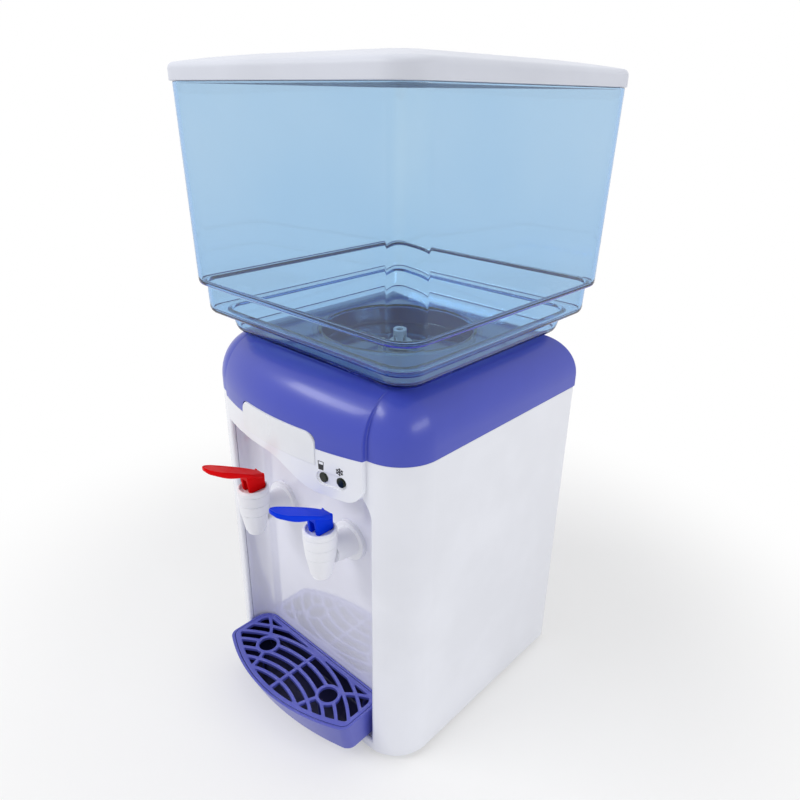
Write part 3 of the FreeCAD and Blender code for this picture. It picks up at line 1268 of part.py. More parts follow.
def make_cooler():
    """Cold block, thermoelectric module, heat sink and fan behind the reservoir."""
    half, tall = s.ColdBlockWidth / 2, s.ColdBlockHeight / 2
    slab = block("BlockSlab", (-half, half), (TANK_Y + s.ReservoirRadius * 0.6, BLOCK_FACE),
                 (COOL_Z - tall, COOL_Z + tall))
    seat = rod("BlockSeat", s.ReservoirRadius + s.Seat, (COOL_Z - tall - 1, COOL_Z + tall + 1),
               at=(0, TANK_Y))
    edge = s.ModuleSize / 2 + s.ScrewRadius * 3
    hole = s.ScrewRadius + s.Seat
    threads = [rod(f"BlockThread{index}", hole, (BLOCK_FACE - s.ScrewLength, BLOCK_FACE + 1), "Y",
                   (x, COOL_Z)) for index, x in enumerate((-edge, edge))]
    finish(cut("ColdBlock", slab, seat, *threads), "cold_block")

    reach = s.ModuleSize / 2
    module = block("Module", (-reach, reach), (BLOCK_FACE, SINK_FACE), (COOL_Z - reach, COOL_Z + reach))
    finish(module, "thermoelectric_module")

    wide, high = s.SinkWidth / 2, s.SinkHeight / 2
    sink = new_body("Sink")
    base = new_sketch(sink, "SinkPlan", offset=COOL_Z - high)
    pad(sink, rectangle(base, (-wide, wide), (SINK_FACE, FIN_FACE)), s.SinkHeight)
    fin = new_sketch(sink, "FinPlan", offset=COOL_Z - high)
    rectangle(fin, (-wide, s.FinThickness - wide), (FIN_FACE - 0.5, FAN_FACE))
    one = pad(sink, fin, s.SinkHeight)
    row = sink.newObject("PartDesign::LinearPattern", "FinRow")
    row.Originals = [one]
    row.Direction = (fin, ["H_Axis"])
    bind(row, Length=s.SinkWidth - s.FinThickness, Occurrences=s.FinCount)
    sink.Tip = row
    channel = s.ScrewHead + 0.6
    tools = []
    for index, x in enumerate((-edge, edge)):
        tools.append(rod(f"SinkHole{index}", hole, (SINK_FACE - 1, FIN_FACE + 1), "Y", (x, COOL_Z)))
        tools.append(rod(f"SinkChannel{index}", channel, (FIN_FACE, FAN_FACE + 1), "Y", (x, COOL_Z)))
    corner = s.FanSize / 2 - 4
    fan_spots = [(x, COOL_Z + z) for x in (-corner, corner) for z in (-corner, corner)]
    for index, spot in enumerate(fan_spots):
        tools.append(rod(f"FanThread{index}", hole, (FAN_FACE - s.ScrewLength, FAN_FACE + 1), "Y", spot))
    finish(cut("HeatSink", sink, *tools), "heat_sink")
    clamps = [screw(f"ClampScrew{index}", x, FIN_FACE, COOL_Z, "Y", -1, s.SinkBase + s.ModuleThickness + 6)
              for index, x in enumerate((-edge, edge))]
    finish(group("ClampScrews", *clamps), "clamp_screws")
    make_fan(fan_spots)


def make_fan(spots):
    edge = s.FanSize / 2
    frame = new_body("Fan")
    plan = new_sketch(frame, "FanFront", "XZ_Plane", offset=-FAN_REAR)
    rounded(plan, (-edge, edge), (COOL_Z - edge, COOL_Z + edge), 4)
    circle(plan, s.FanRadius, 0, COOL_Z)
    for x, z in spots:
        circle(plan, s.ScrewRadius + s.Seat, x, z)
    pad(frame, plan, s.FanThickness)
    web = (FAN_FACE, FAN_FACE + 2)
    plate = rod("MotorPlate", s.HubRadius, web, "Y", (0, COOL_Z))
    struts = [block(f"Strut{index}", *spans) for index, spans in enumerate((
        ((-s.FanRadius - 1, s.FanRadius + 1), web, (COOL_Z - 1.5, COOL_Z + 1.5)),
        ((-1.5, 1.5), web, (COOL_Z - s.FanRadius - 1, COOL_Z + s.FanRadius + 1))))]
    sleeve = rod("Sleeve", s.ShaftRadius + 2, (FAN_FACE, FAN_FACE + s.FanThickness * 0.6), "Y", (0, COOL_Z))
    bore = rod("SleeveBore", s.ShaftRadius + s.Seat, (FAN_FACE + 1, FAN_REAR), "Y", (0, COOL_Z))
    finish(cut("FanFrame", fuse("FanFrameSolid", frame, plate, sleeve, *struts), bore), "fan_frame")

    low = FAN_FACE + 2 + s.Gap * 2
    high = FAN_REAR - 1.5
    hub = cut("FanHub", rod("HubCap", s.HubRadius, (low, high), "Y", (0, COOL_Z)),
              rod("HubRoom", s.HubRadius - 2, (low - 1, high - 2), "Y", (0, COOL_Z)))
    shaft = rod("FanShaft", s.ShaftRadius, (FAN_FACE + 1 + s.Gap, high - 1), "Y", (0, COOL_Z))
    blades = []
    count = int(float(s.BladeCount))
    inner, outer = float(s.HubRadius) - 0.5, float(s.FanRadius) - 1
    depth = float(high - low)
    for index in range(count):
        blade = Part.makeBox(outer - inner, 1.2, depth * 1.1, Vector(inner, -0.6, -depth * 0.55))
        blade.rotate(Vector(0, 0, 0), Vector(1, 0, 0), 38)
        blade = blade.common(Part.makeCylinder(outer, depth, Vector(0, 0, -depth / 2)))
        blade.rotate(Vector(0, 0, 0), Vector(0, 0, 1), 360 / count * index)
        blades.append(blade)
    wheel = feature("Blades", Part.makeCompound(blades))
    turn_to(wheel, "Y")
    place(wheel, 0, (low + high) / 2, COOL_Z)
    finish(fuse("FanRotor", hub, shaft, wheel), "fan_rotor")

    screws = [screw(f"FanScrew{index}", x, FAN_REAR, z, "Y", -1, s.FanThickness + s.ScrewLength - 1)
              for index, (x, z) in enumerate(spots)]
    finish(group("FanScrews", *screws), "fan_screws")


def route(points, radius):
    """Straight runs joined by tangent arcs of one radius."""
    spots = [Vector(*[float(value) for value in point]) for point in points]
    edges = []
    start = spots[0]
    for before, corner, after in zip(spots, spots[1:], spots[2:]):
        inward = (before - corner).normalize()
        outward = (after - corner).normalize()
        turn = math.pi - inward.getAngle(outward)
        reach = radius * math.tan(turn / 2)
        first, last = corner + inward * reach, corner + outward * reach
        bisector = (inward + outward).normalize()
        middle = corner + bisector * (radius / math.cos(turn / 2) - radius)
        edges += [Part.LineSegment(start, first).toShape(), Part.Arc(first, middle, last).toShape()]
        start = last
    edges.append(Part.LineSegment(start, spots[-1]).toShape())
    return Part.Wire(edges)


def hose(name, points, radius, bore):
    """A hose with a round bore along a route."""
    path = route(points, float(s.BendRadius))
    start, heading = path.Vertexes[0].Point, path.Edges[0].tangentAt(path.Edges[0].FirstParameter)
    tubes = []
    for size in (float(radius), float(bore)):
        section = Part.Wire([Part.makeCircle(size, start, heading)])
        tubes.append(path.makePipeShell([section], True, False))
    return feature(name, tubes[0].cut(tubes[1]))


def make_hoses():
    """Feed hose with a branch, and one hose to the tail of each tap."""
    at = (0, TANK_Y)
    tail_low = COVER_TOP - s.WellDepth - s.PanelWall - s.TailLength
    stub_top = RESERVOIR_TOP + s.FoamThickness + 9
    upper = (tail_low - 6, tail_low + 14)
    tee = fuse("TeeSolid", rod("TeeTop", s.TailRadius + 2, upper, at=at),
               rod("TeeLow", s.BarbRadius + 2, (stub_top - 8, tail_low - 5), at=at),
               rod("TeeBranch", s.BarbRadius, (-s.TailRadius - 16, 0), "X", (TANK_Y, BRANCH_Z)))
    bores = [rod("TeeSocket", s.TailRadius + s.Seat, (tail_low, upper[1] + 1), at=at),
             rod("TeeBore", s.InletBore, (stub_top - 9, tail_low + 1), at=at),
             rod("TeeCup", s.BarbRadius + s.Seat, (stub_top - 9, stub_top), at=at),
             rod("TeeSide", s.InletBore, (-s.TailRadius - 17, 0), "X", (TANK_Y, BRANCH_Z))]
    finish(cut("Tee", tee, *bores), "feed_tee")

    barb_end = ALCOVE_REAR + 26
    inner = s.BarbRadius + s.Seat
    points = [(-s.TailRadius - 6, TANK_Y, BRANCH_Z), (-TAP_X - 16, TANK_Y, BRANCH_Z),
              (-TAP_X - 16, HOSE_Y - 3, BRANCH_Z), (-TAP_X - 16, HOSE_Y - 3, TAP_Z + 32),
              (-TAP_X, HOSE_Y - 3, TAP_Z), (-TAP_X, barb_end - 11, TAP_Z)]
    finish(hose("WarmHose", points, s.HoseRadius, inner), "ambient_hose")
    points = [(0, TANK_Y, RESERVOIR_LOW - s.FoamThickness - 6), (0, TANK_Y, OUTLET_Z),
              (TAP_X + 6, HOSE_Y - 8, OUTLET_Z), (TAP_X + 6, HOSE_Y - 3, TAP_Z - 30),
              (TAP_X, HOSE_Y - 3, TAP_Z), (TAP_X, barb_end - 11, TAP_Z)]
    finish(hose("ColdHose", points, s.HoseRadius, inner), "cold_hose")


# ---------------------------------------------------------------------------------------------
# Electrics and rear panel
# ---------------------------------------------------------------------------------------------
def make_board():
    """Power board on four spacers at the right side wall."""
    face = SIDE - s.ShellWall - s.BoardOffset
    sheet_x = (face - s.BoardThickness, face)
    y_low, z_low = -s.BoardWidth / 4, BASE + 30
    y_high, z_high = y_low + s.BoardWidth, z_low + s.BoardHeight
    finish(block("PowerBoard", sheet_x, (y_low, y_high), (z_low, z_high)), "power_board")
    corners = [(y, z) for y in (y_low + 6, y_high - 6) for z in (z_low + 6, z_high - 6)]
    spacers = [rod(f"Spacer{index}", s.BossRadius, (face, SIDE - s.ShellWall), "X", spot)
               for index, spot in enumerate(corners)]
    finish(group("Spacers", *spacers), "board_spacers")
    back = sheet_x[0]
    items = [block("Transformer", (back - 22, back), (y_low + 12, y_low + 42), (z_low + 14, z_low + 42)),
             block("Choke", (back - 15, back), (y_low + 52, y_low + 70), (z_low + 16, z_low + 34)),
             block("Regulator", (back - 18, back), (y_low + 14, y_low + 18), (z_low + 54, z_low + 78)),
             rod("BulkCapacitor", 9, (back - 20, back), "X", (y_low + 58, z_low + 60)),
             rod("OutputCapacitor", 5, (back - 16, back), "X", (y_low + 34, z_low + 62)),
             rod("SmallCapacitor", 5, (back - 16, back), "X", (y_low + 34, z_low + 78))]
    finish(group("BoardParts", *items), "board_parts")


def make_rear():
    body = new_body("RearPanel")
    wide = s.RearWidth / 2
    plan = rounded(new_sketch(body, "RearPlan", "XZ_Plane", offset=-REAR), (-wide, wide),
                   (REAR_LOW, REAR_TOP), 6)
    for x, z in rear_screw_spots():
        circle(plan, s.ScrewRadius + s.Seat, x, z)
    inlet_z = BASE + s.InletZ
    rectangle(plan, (s.InletX - s.InletWidth / 2, s.InletX + s.InletWidth / 2),
              (inlet_z - s.InletHeight / 2, inlet_z + s.InletHeight / 2))
    rectangle(plan, (s.SwitchX - s.SwitchWidth / 2, s.SwitchX + s.SwitchWidth / 2),
              (inlet_z - s.SwitchHeight / 2, inlet_z + s.SwitchHeight / 2))
    pad(body, plan, s.PanelWall, reverse=True)
    slots = new_sketch(body, "SlotPlan", "XZ_Plane", offset=-REAR - s.PanelWall)
    first = COOL_Z - s.SlotPitch * 6
    for x in (-s.FanSize * 0.26, s.FanSize * 0.26):
        rectangle(slots, (x - s.FanSize * 0.23, x + s.FanSize * 0.23), (first, first + s.SlotHeight))
    one = pocket(body, slots, s.PanelWall * 3, reverse=True)
    repeat(body, one, slots, "SlotRow", s.SlotPitch * (s.SlotCount - 1), s.SlotCount)
    finish(body, "rear_panel")
    screws = [screw(f"RearScrew{index}", x, REAR + s.PanelWall, z, "Y", -1)
              for index, (x, z) in enumerate(rear_screw_spots())]
    finish(group("RearScrews", *screws), "rear_screws")


def repeat(body, one, sketch, name, length, count):
    """Repeat a feature along its sketch's vertical axis."""
    row = body.newObject("PartDesign::LinearPattern", name)
    row.Originals = [one]
    row.Direction = (sketch, ["V_Axis"])
    bind(row, Length=length, Occurrences=count)
    body.Tip = row
    return row


def make_inlet():
    """Appliance inlet with its three blades, and the rocker switch beside it."""
    z = BASE + s.InletZ
    outside = REAR + s.PanelWall
    wide, high = s.InletWidth / 2 - s.Seat, s.InletHeight / 2 - s.Seat
    rim = block("InletRim", (s.InletX - wide - 2, s.InletX + wide + 2), (outside, outside + 2),
                (z - high - 2, z + high + 2))
    case = block("InletCase", (s.InletX - wide, s.InletX + wide), (REAR - 20, outside + 1),
                 (z - high, z + high))
    room = block("InletRoom", (s.InletX - wide + 2, s.InletX + wide - 2), (REAR - 15, outside + 3),
                 (z - high + 2, z + high - 2))
    blades = [block(f"Blade{index}", (x - 1, x + 1), (REAR - 16, REAR), (z + lift - 2, z + lift + 2))
              for index, (x, lift) in enumerate(((s.InletX - 7, -1), (s.InletX, 1), (s.InletX + 7, -1)))]
    finish(fuse("Inlet", cut("InletShell", fuse("InletSolid", rim, case), room), *blades), "power_inlet")

    wide, high = s.SwitchWidth / 2 - s.Seat, s.SwitchHeight / 2 - s.Seat
    rim = block("SwitchRim", (s.SwitchX - wide - 1.5, s.SwitchX + wide + 1.5), (outside, outside + 1.5),
                (z - high - 1.5, z + high + 1.5))
    case = block("SwitchCase", (s.SwitchX - wide, s.SwitchX + wide), (REAR - 12, outside + 1),
                 (z - high, z + high))
    room = block("SwitchRoom", (s.SwitchX - wide + 1.5, s.SwitchX + wide - 1.5), (REAR - 8, outside + 2),
                 (z - high + 1.2, z + high - 1.2))
    pivot_y = outside - 2
    bore = rod("SwitchBore", s.ShaftRadius + s.Seat, (s.SwitchX - wide + 0.6, s.SwitchX + wide - 0.6), "X",
               (pivot_y, z))
    finish(cut("SwitchBody", fuse("SwitchSolid", rim, case), room, bore), "switch_body")

    half = wide - 1.5 - s.Gap
    rocker = new_body("Rocker")
    side = new_sketch(rocker, "RockerSide", "YZ_Plane", offset=-half)
    reach = high - 2.2
    face = outside + 1 - pivot_y
    outline(side, [(-3, 2 - reach), (-3, reach - 2), (face + 1, reach), (face + 1, -reach)],
            {2: (face - 0.6, 0)})
    pad(rocker, side, half * 2)
    axle = rod("RockerAxle", s.ShaftRadius, (0.8 - wide, wide - 0.8), "X")
    solid = fuse("RockerSolid", rocker, axle)
    solid.Placement.Rotation = Rotation(Vector(-1, 0, 0), float(s.RockerAngle))
    bind(solid, Placement__Rotation__Angle=s.RockerAngle)
    finish(solid, "power_rocker", s.SwitchX, pivot_y, z)


make_housing()
make_base()
make_alcove()
make_fascia()
make_cover()
make_probe()
make_tank()
make_valve()
make_lid()
for side, colour in ((-1, "red"), (1, "blue")):
    make_tap(side, colour)
    make_lever(side, colour)
make_tray()
make_grille()
make_reservoir()
make_cooler()
make_hoses()
make_board()
make_rear()
make_inlet()
doc.recompute()

# ---------------------------------------------------------------------------------------------
# Check and export
# ---------------------------------------------------------------------------------------------
faulty = [item.Name for item in doc.Objects if {"Invalid", "Error"} & set(item.State)]
faulty += [item.Label for item in nodes if item.Shape.isNull() or not item.Shape.isValid()]
if faulty:
    raise RuntimeError("not built: " + ", ".join(faulty))
os.makedirs("parts", exist_ok=True)
for item in nodes:
    item.Shape.exportStep(f"parts/{item.Label}.step")
    box = item.Shape.BoundBox
    spans = "  ".join(f"{low:8.2f} {high:8.2f}" for low, high in (
        (box.XMin, box.XMax), (box.YMin, box.YMax), (box.ZMin, box.ZMax)))
    print(f"{item.Label:22s} solids {len(item.Shape.Solids)} volume {item.Shape.Volume:12.1f}  {spans}")
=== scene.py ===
"""Looks of a countertop water dispenser: finishes, moulded shapes and fine detail on the CAD frame.

Lengths in the classes are millimetres; MM turns them into the frame's metres.  Depths along Y are
counted from the middle of the housing, as the pieces were drawn, and `settle` moves them.
"""

import json
import logging
from cmath import rect
from collections.abc import Iterable, Iterator, Sequence
from contextlib import contextmanager
from dataclasses import dataclass, field
from enum import Enum
from math import atan2, cos, pi, radians, sin, sqrt

import bmesh
import bpy
from mathutils import Matrix, Vector

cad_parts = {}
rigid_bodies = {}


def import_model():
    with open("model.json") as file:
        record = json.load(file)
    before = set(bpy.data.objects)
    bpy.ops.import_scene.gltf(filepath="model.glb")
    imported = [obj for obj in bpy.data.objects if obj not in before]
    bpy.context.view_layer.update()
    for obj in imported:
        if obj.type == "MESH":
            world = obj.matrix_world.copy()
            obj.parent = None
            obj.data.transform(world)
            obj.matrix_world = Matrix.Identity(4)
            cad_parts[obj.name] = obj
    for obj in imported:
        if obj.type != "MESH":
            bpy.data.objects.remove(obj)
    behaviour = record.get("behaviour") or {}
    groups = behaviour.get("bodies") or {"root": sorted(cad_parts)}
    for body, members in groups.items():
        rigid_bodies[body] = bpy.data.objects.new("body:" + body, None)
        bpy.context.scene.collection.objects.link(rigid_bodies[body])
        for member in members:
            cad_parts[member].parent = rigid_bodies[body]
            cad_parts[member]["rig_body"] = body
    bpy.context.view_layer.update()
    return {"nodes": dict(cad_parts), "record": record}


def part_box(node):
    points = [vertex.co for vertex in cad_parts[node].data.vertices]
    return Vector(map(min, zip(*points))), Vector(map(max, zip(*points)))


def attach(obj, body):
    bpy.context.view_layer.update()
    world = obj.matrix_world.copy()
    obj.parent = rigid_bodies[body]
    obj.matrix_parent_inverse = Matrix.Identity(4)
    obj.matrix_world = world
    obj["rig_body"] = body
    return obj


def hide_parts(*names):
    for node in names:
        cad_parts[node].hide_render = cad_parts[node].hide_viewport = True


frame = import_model()

log = logging.getLogger("dispenser")
MM = 0.001
REAR = 105
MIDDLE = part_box("housing_shell")[1].y / MM - REAR
BOW_RADIUS, BOW_CENTRE, BOW_HALF = 239.78, 118.38, 77
WELD = 0.002
CAD_WELD = 0.004
TAP_X = 40.3
TANK_Y = 6.2
Colour = tuple[float, float, float]
Ring = list[Vector]
Station = tuple[float, ...]
Pair = tuple[float, float]
Stroke = list[complex]
Sockets = dict[str, "Field | float"]
Material = bpy.types.Material
Socket = bpy.types.NodeSocket
Thing = bpy.types.Object


# Node trees
class Field:
    """A node's output that arithmetic can be written with."""

    def __init__(self, tree: "Tree", socket: Socket) -> None:
        """Wraps one output socket of a tree."""
        self.tree = tree
        self.socket = socket

    def _join(self, operation: str, first: "Field | float", second: "Field | float") -> "Field":
        """Adds a Math node for two values."""
        return self.tree.add("ShaderNodeMath", {0: first, 1: second}, operation=operation)

    def __add__(self, other: "Field | float") -> "Field":
        """Sum."""
        return self._join("ADD", self, other)

    __radd__ = __add__

    def __rsub__(self, other: float) -> "Field":
        """Difference from a number."""
        return self._join("SUBTRACT", other, self)

    def __mul__(self, other: "Field | float") -> "Field":
        """Product."""
        return self._join("MULTIPLY", self, other)

    __rmul__ = __mul__

    def __truediv__(self, other: "Field | float") -> "Field":
        """Quotient."""
        return self._join("DIVIDE", self, other)

    def __or__(self, other: "Field") -> "Field":
        """The larger of two."""
        return self._join("MAXIMUM", self, other)

    def step(self, low: float, high: float) -> "Field":
        """Rises smoothly from 0 to 1 between two values."""
        return self.tree.add("ShaderNodeMapRange", {"Value": self, "From Min": low, "From Max": high},
                              interpolation_type="SMOOTHSTEP")


class Tree:
    """A node tree that is built by name."""

    def __init__(self, tree: bpy.types.NodeTree) -> None:
        """Wraps and empties a tree."""
        self.tree = tree
        tree.nodes.clear()

    def add(self, kind: str, inputs: dict | None = None, output: int | str = 0, **settings) -> "Field | None":
        """Adds a node with its settings and its inputs, by name or number, and returns one output."""
        node = self.tree.nodes.new(kind)
        for name, value in settings.items():
            setattr(node, name, value)
        for name, value in (inputs or {}).items():
            self.feed(node.inputs[name], value)
        return Field(self, node.outputs[output]) if node.outputs else None

    def feed(self, socket: Socket, value: "Field | float | Colour") -> None:
        """Links a field to a socket, or sets the socket's own value."""
        if isinstance(value, Field):
            self.tree.links.new(value.socket, socket)
        elif isinstance(value, tuple) and socket.type == "RGBA":
            socket.default_value = (*value, 1)
        else:
            socket.default_value = value


class Sheet(Tree):
    """The shader tree of one material or world, which reads Object coordinates."""

    def __init__(self, owner: "Material | bpy.types.World") -> None:
        """Starts an empty tree."""
        owner.use_nodes = True
        super().__init__(owner.node_tree)
        self.owner = owner
        self.place = self.add("ShaderNodeTexCoord", output="Object")

    def noise(self, scale: float, detail: float = 2, stretch: Colour = (1, 1, 1)) -> Field:
        """Noise per metre of the piece, stretched along its axes."""
        place = self.add("ShaderNodeMapping", {"Vector": self.place, "Scale": stretch})
        return self.add("ShaderNodeTexNoise", {"Vector": place, "Scale": scale, "Detail": detail})

    def cells(self, scale: float) -> Field:
        """Distance from the middle of the nearest cell."""
        return self.add("ShaderNodeTexVoronoi", {"Vector": self.place, "Scale": scale})

    def mix(self, factor: "Field | float", first: "Field | Colour", second: "Field | Colour") -> Field:
        """Blends two colours."""
        return self.add("ShaderNodeMix", {0: factor, 6: first, 7: second}, 2, data_type="RGBA")

    def relief(self, height: Field, depth: float) -> Field:
        """A bumped normal; depth in millimetres."""
        return self.add("ShaderNodeBump", {"Height": height, "Strength": 1, "Distance": depth * MM}, "Normal")


def tone(red: int, green: int, blue: int) -> Colour:
    """A display colour in 0..255 as the linear colour that shows as it."""
    def linear(value: float) -> float:
        return value / 12.92 if value <= 0.04045 else ((value + 0.055) / 1.055) ** 2.4
    return linear(red / 255), linear(green / 255), linear(blue / 255)


def shade(colour: Colour, factor: float) -> Colour:
    """A darker or lighter version of a colour."""
    return tuple(min(1.0, channel * factor) for channel in colour)


# Finishes
@dataclass(frozen=True)
class Look:
    """What every finish has: a name, a colour and a way to build its material."""

    name: str
    colour: Colour

    def sockets(self, sheet: Sheet) -> Sockets:
        """What feeds the Principled shader, and Volume where light is lost inside."""
        raise NotImplementedError

    def make(self, name: str) -> Material:
        """Builds the material."""
        sheet = Sheet(bpy.data.materials.new(name))
        sockets = self.sockets(sheet)
        ends = {"Volume": sockets.pop("Volume")} if "Volume" in sockets else {}
        ends["Surface"] = sheet.add("ShaderNodeBsdfPrincipled", sockets)
        sheet.add("ShaderNodeOutputMaterial", ends)
        return sheet.owner


@dataclass(frozen=True)
class Plastic(Look):
    """Injection-moulded plastic: slow waviness, fine skin and slightly uneven gloss."""

    roughness: float
    coat: float
    wave: float
    skin: float
    skin_scale: float = 1600
    mottle: float = 0.03
    shine: float = 0.5

    def sockets(self, sheet: Sheet) -> Sockets:
        """Clouded colour, smeared gloss and a wavy skin."""
        cloud = sheet.noise(14, 3).step(0.3, 0.7)
        smear = sheet.noise(60, 4, (1, 1, 0.25))
        height = self.wave * sheet.noise(22, 0) + self.skin * sheet.noise(self.skin_scale, 1)
        colours = (shade(self.colour, 1 + sign * self.mottle) for sign in (-1, 1))
        return {"Base Color": sheet.mix(cloud, *colours), "Roughness": self.roughness * (0.86 + 0.28 * smear),
                "Specular IOR Level": self.shine, "Coat Weight": self.coat, "Coat Roughness": 0.06,
                "Normal": sheet.relief(height, 1)}


@dataclass(frozen=True)
class Clear(Look):
    """Tinted clear plastic, deeper in colour low down, with a faint wave and a few wiped smears."""

    deep: Colour
    inside: Colour
    density: float
    roughness: float
    levels: Pair

    def sockets(self, sheet: Sheet) -> Sockets:
        """Tint by height, smears and the loss of light inside."""
        smear = sheet.noise(40, 4, (1, 1, 0.4)).step(0.45, 0.8)
        level = sheet.add("ShaderNodeSeparateXYZ", {0: sheet.place}, "Z").step(*self.levels)
        cloud = sheet.noise(9, 1).step(0.3, 0.7)
        return {"Base Color": sheet.mix(0.7 * level + 0.3 * cloud, self.deep, self.colour), "IOR": 1.49,
                "Roughness": self.roughness * (0.7 + 1.2 * smear), "Transmission Weight": 1.0,
                "Normal": sheet.relief(0.12 * sheet.noise(16, 0), 1),
                "Volume": sheet.add("ShaderNodeVolumeAbsorption",
                                    {"Color": self.inside, "Density": self.density})}


@dataclass(frozen=True)
class Grain(Look):
    """A surface with one fine grain that tints it, varies its gloss and stands in relief.

    `tint` holds where the second tone starts and is full, and how it differs; `rough` the
    roughness and how much the grain adds; `cloud` a slower noise that tints instead of the grain.
    """

    scale: float
    detail: float
    tint: Station
    rough: Pair
    depth: float
    cloud: Pair | None = None
    stretch: Colour = (1, 1, 1)
    metal: float = 0.0
    shine: float = 0.5

    def sockets(self, sheet: Sheet) -> Sockets:
        """Tint, gloss and relief of the grain."""
        grain = sheet.noise(self.scale, self.detail, self.stretch)
        cloud = sheet.noise(*self.cloud) if self.cloud else grain
        low, high, factor = self.tint
        return {"Base Color": sheet.mix(cloud.step(low, high), self.colour, shade(self.colour, factor)),
                "Metallic": self.metal, "Roughness": self.rough[0] + self.rough[1] * grain,
                "Specular IOR Level": self.shine, "Normal": sheet.relief(grain, self.depth)}


def rubber(name: str, colour: Colour, roughness: float) -> Grain:
    """Matt rubber with a fine grain and dust in it."""
    return Grain(name, colour, 1800, 2, (0.55, 0.85, 1.5), (roughness, 0.12), 0.05, (120, 4))


def metal(name: str, colour: Colour, roughness: float) -> Grain:
    """Drawn or turned metal with fine lines along one axis."""
    return Grain(name, colour, 900, 2, (0.35, 0.75, 0.84), (0.7 * roughness, 0.6 * roughness), 0.01,
                 (30, 3), (1, 1, 0.05), 1.0)


@dataclass(frozen=True)
class Foam(Look):
    """Closed-cell insulation foam: bead outlines and uneven tone."""

    def sockets(self, sheet: Sheet) -> Sockets:
        """Beads in colour and relief."""
        beads = sheet.cells(420)
        return {"Base Color": sheet.mix(beads.step(0.25, 0.65), self.colour, shade(self.colour, 0.78)),
                "Roughness": 0.85, "Normal": sheet.relief(1 - beads, 0.5)}


@dataclass(frozen=True)
class Board(Look):
    """Circuit board: solder mask over copper tracks, with bare pads."""

    pad: Colour

    def sockets(self, sheet: Sheet) -> Sockets:
        """Tracks and pads in colour, gloss and relief."""
        tracks = sheet.add("ShaderNodeTexBrick", {"Vector": sheet.place, "Scale": 160, "Mortar Size": 0.045,
                                                  "Mortar Smooth": 0.2}, "Fac")
        pads = 1 - sheet.cells(260).step(0.16, 0.2)
        mask = sheet.mix(tracks, self.colour, shade(self.colour, 1.7))
        return {"Base Color": sheet.mix(pads, mask, self.pad), "Roughness": 0.42 - 0.15 * pads,
                "Metallic": 0.8 * pads, "Normal": sheet.relief(tracks + pads, 0.05)}


class Finish(Enum):
    """Every finish of the dispenser, with painted shade on the tank's stage edges and the basin's inside, and
    a painted reflection in the alcove's tint.
    """

    WHITE = Plastic("white_plastic", tone(238, 240, 248), 0.22, 0.25, 0.05, 0.003)
    # white gloss plastic, partly its own white and partly a painted reflection: the extra blue-violet tint
    # stands in for the violet tray and cover mirrored in the alcove
    GLOSS = Plastic("gloss_white_plastic", tone(231, 232, 246), 0.07, 1.0, 0.03, 0.001)
    PLATE = Plastic("plate_plastic", tone(236, 238, 243), 0.26, 0.2, 0.02, 0.003)
    COVER = Plastic("violet_cover_plastic", tone(68, 80, 188), 0.3, 0.1, 0.16, 0.006, shine=0.4)
    TRAY = Plastic("violet_tray_plastic", tone(84, 90, 184), 0.34, 0.1, 0.03, 0.006)
    # painted shade: a darker copy of the tray plastic for the basin's inside under the grille
    BASIN = Plastic("dark_basin_plastic", tone(26, 26, 66), 0.4, 0.0, 0.03, 0.006, mottle=0.1, shine=0.3)
    TANK = Clear("tinted_tank_plastic", (0.94, 0.95, 0.91), (0.76, 0.86, 0.89), (0.05, 0.50, 0.92), 150, 0.02,
                 (0.32, 0.47))
    # painted shade: opaque dark blue for the rounded lower edges of the tank's stages, where the clear wall
    # looks dark
    TANK_EDGE = Plastic("tank_edge_plastic", tone(22, 34, 176), 0.2, 0.3, 0.0, 0.002)
    LID = Plastic("lid_plastic", tone(216, 219, 229), 0.4, 0.0, 0.06, 0.004, shine=0.12)
    TAP = Plastic("tap_plastic", tone(245, 246, 252), 0.3, 0.1, 0.02, 0.004)
    RED = Plastic("red_lever_plastic", tone(234, 8, 14), 0.42, 0.0, 0.02, 0.004, shine=0.06)
    BLUE = Plastic("blue_lever_plastic", tone(6, 60, 232), 0.42, 0.0, 0.02, 0.004, shine=0.06)
    INNER = Plastic("natural_plastic", tone(220, 222, 222), 0.42, 0.0, 0.03, 0.01)
    VALVE = Plastic("valve_plastic", tone(228, 232, 238), 0.3, 0.0, 0.01, 0.004)
    BLACK = Plastic("black_plastic", tone(34, 34, 38), 0.42, 0.0, 0.02, 0.012, 2400, 0.12)
    BLACK_RUBBER = rubber("black_rubber", tone(38, 38, 42), 0.72)
    PALE_RUBBER = rubber("pale_rubber", tone(196, 202, 214), 0.55)
    HOSE = rubber("hose_rubber", tone(206, 210, 208), 0.5)
    STEEL = metal("steel", tone(196, 198, 202), 0.28)
    ALUMINIUM = metal("aluminium", tone(205, 207, 210), 0.36)
    CERAMIC = Grain("ceramic", tone(232, 230, 222), 2600, 3, (0.5, 0.7, 0.85), (0.6, 0.1), 0.02)
    FOAM = Foam("foam", tone(212, 214, 220))
    LENS = Grain("lamp_lens", tone(14, 22, 10), 700, 1, (0.3, 0.7, 1.8), (0.12, 0.1), 0.03, shine=0.25)
    BOARD = Board("circuit_board", tone(22, 92, 58), tone(196, 190, 170))
    INK = Grain("printed_ink", tone(34, 34, 38), 2200, 3, (0.55, 0.85, 2.2), (0.4, 0.2), 0.01)

    def material(self) -> Material:
        """The finish's material, built once."""
        name = "look_" + self.value.name
        return bpy.data.materials.get(name) or self.value.make(name)


# Meshes
@contextmanager
def edited(mesh: bpy.types.Mesh) -> Iterator[bmesh.types.BMesh]:
    """Opens a mesh and writes it back."""
    work = bmesh.new()
    work.from_mesh(mesh)
    yield work
    work.to_mesh(mesh)
    work.free()


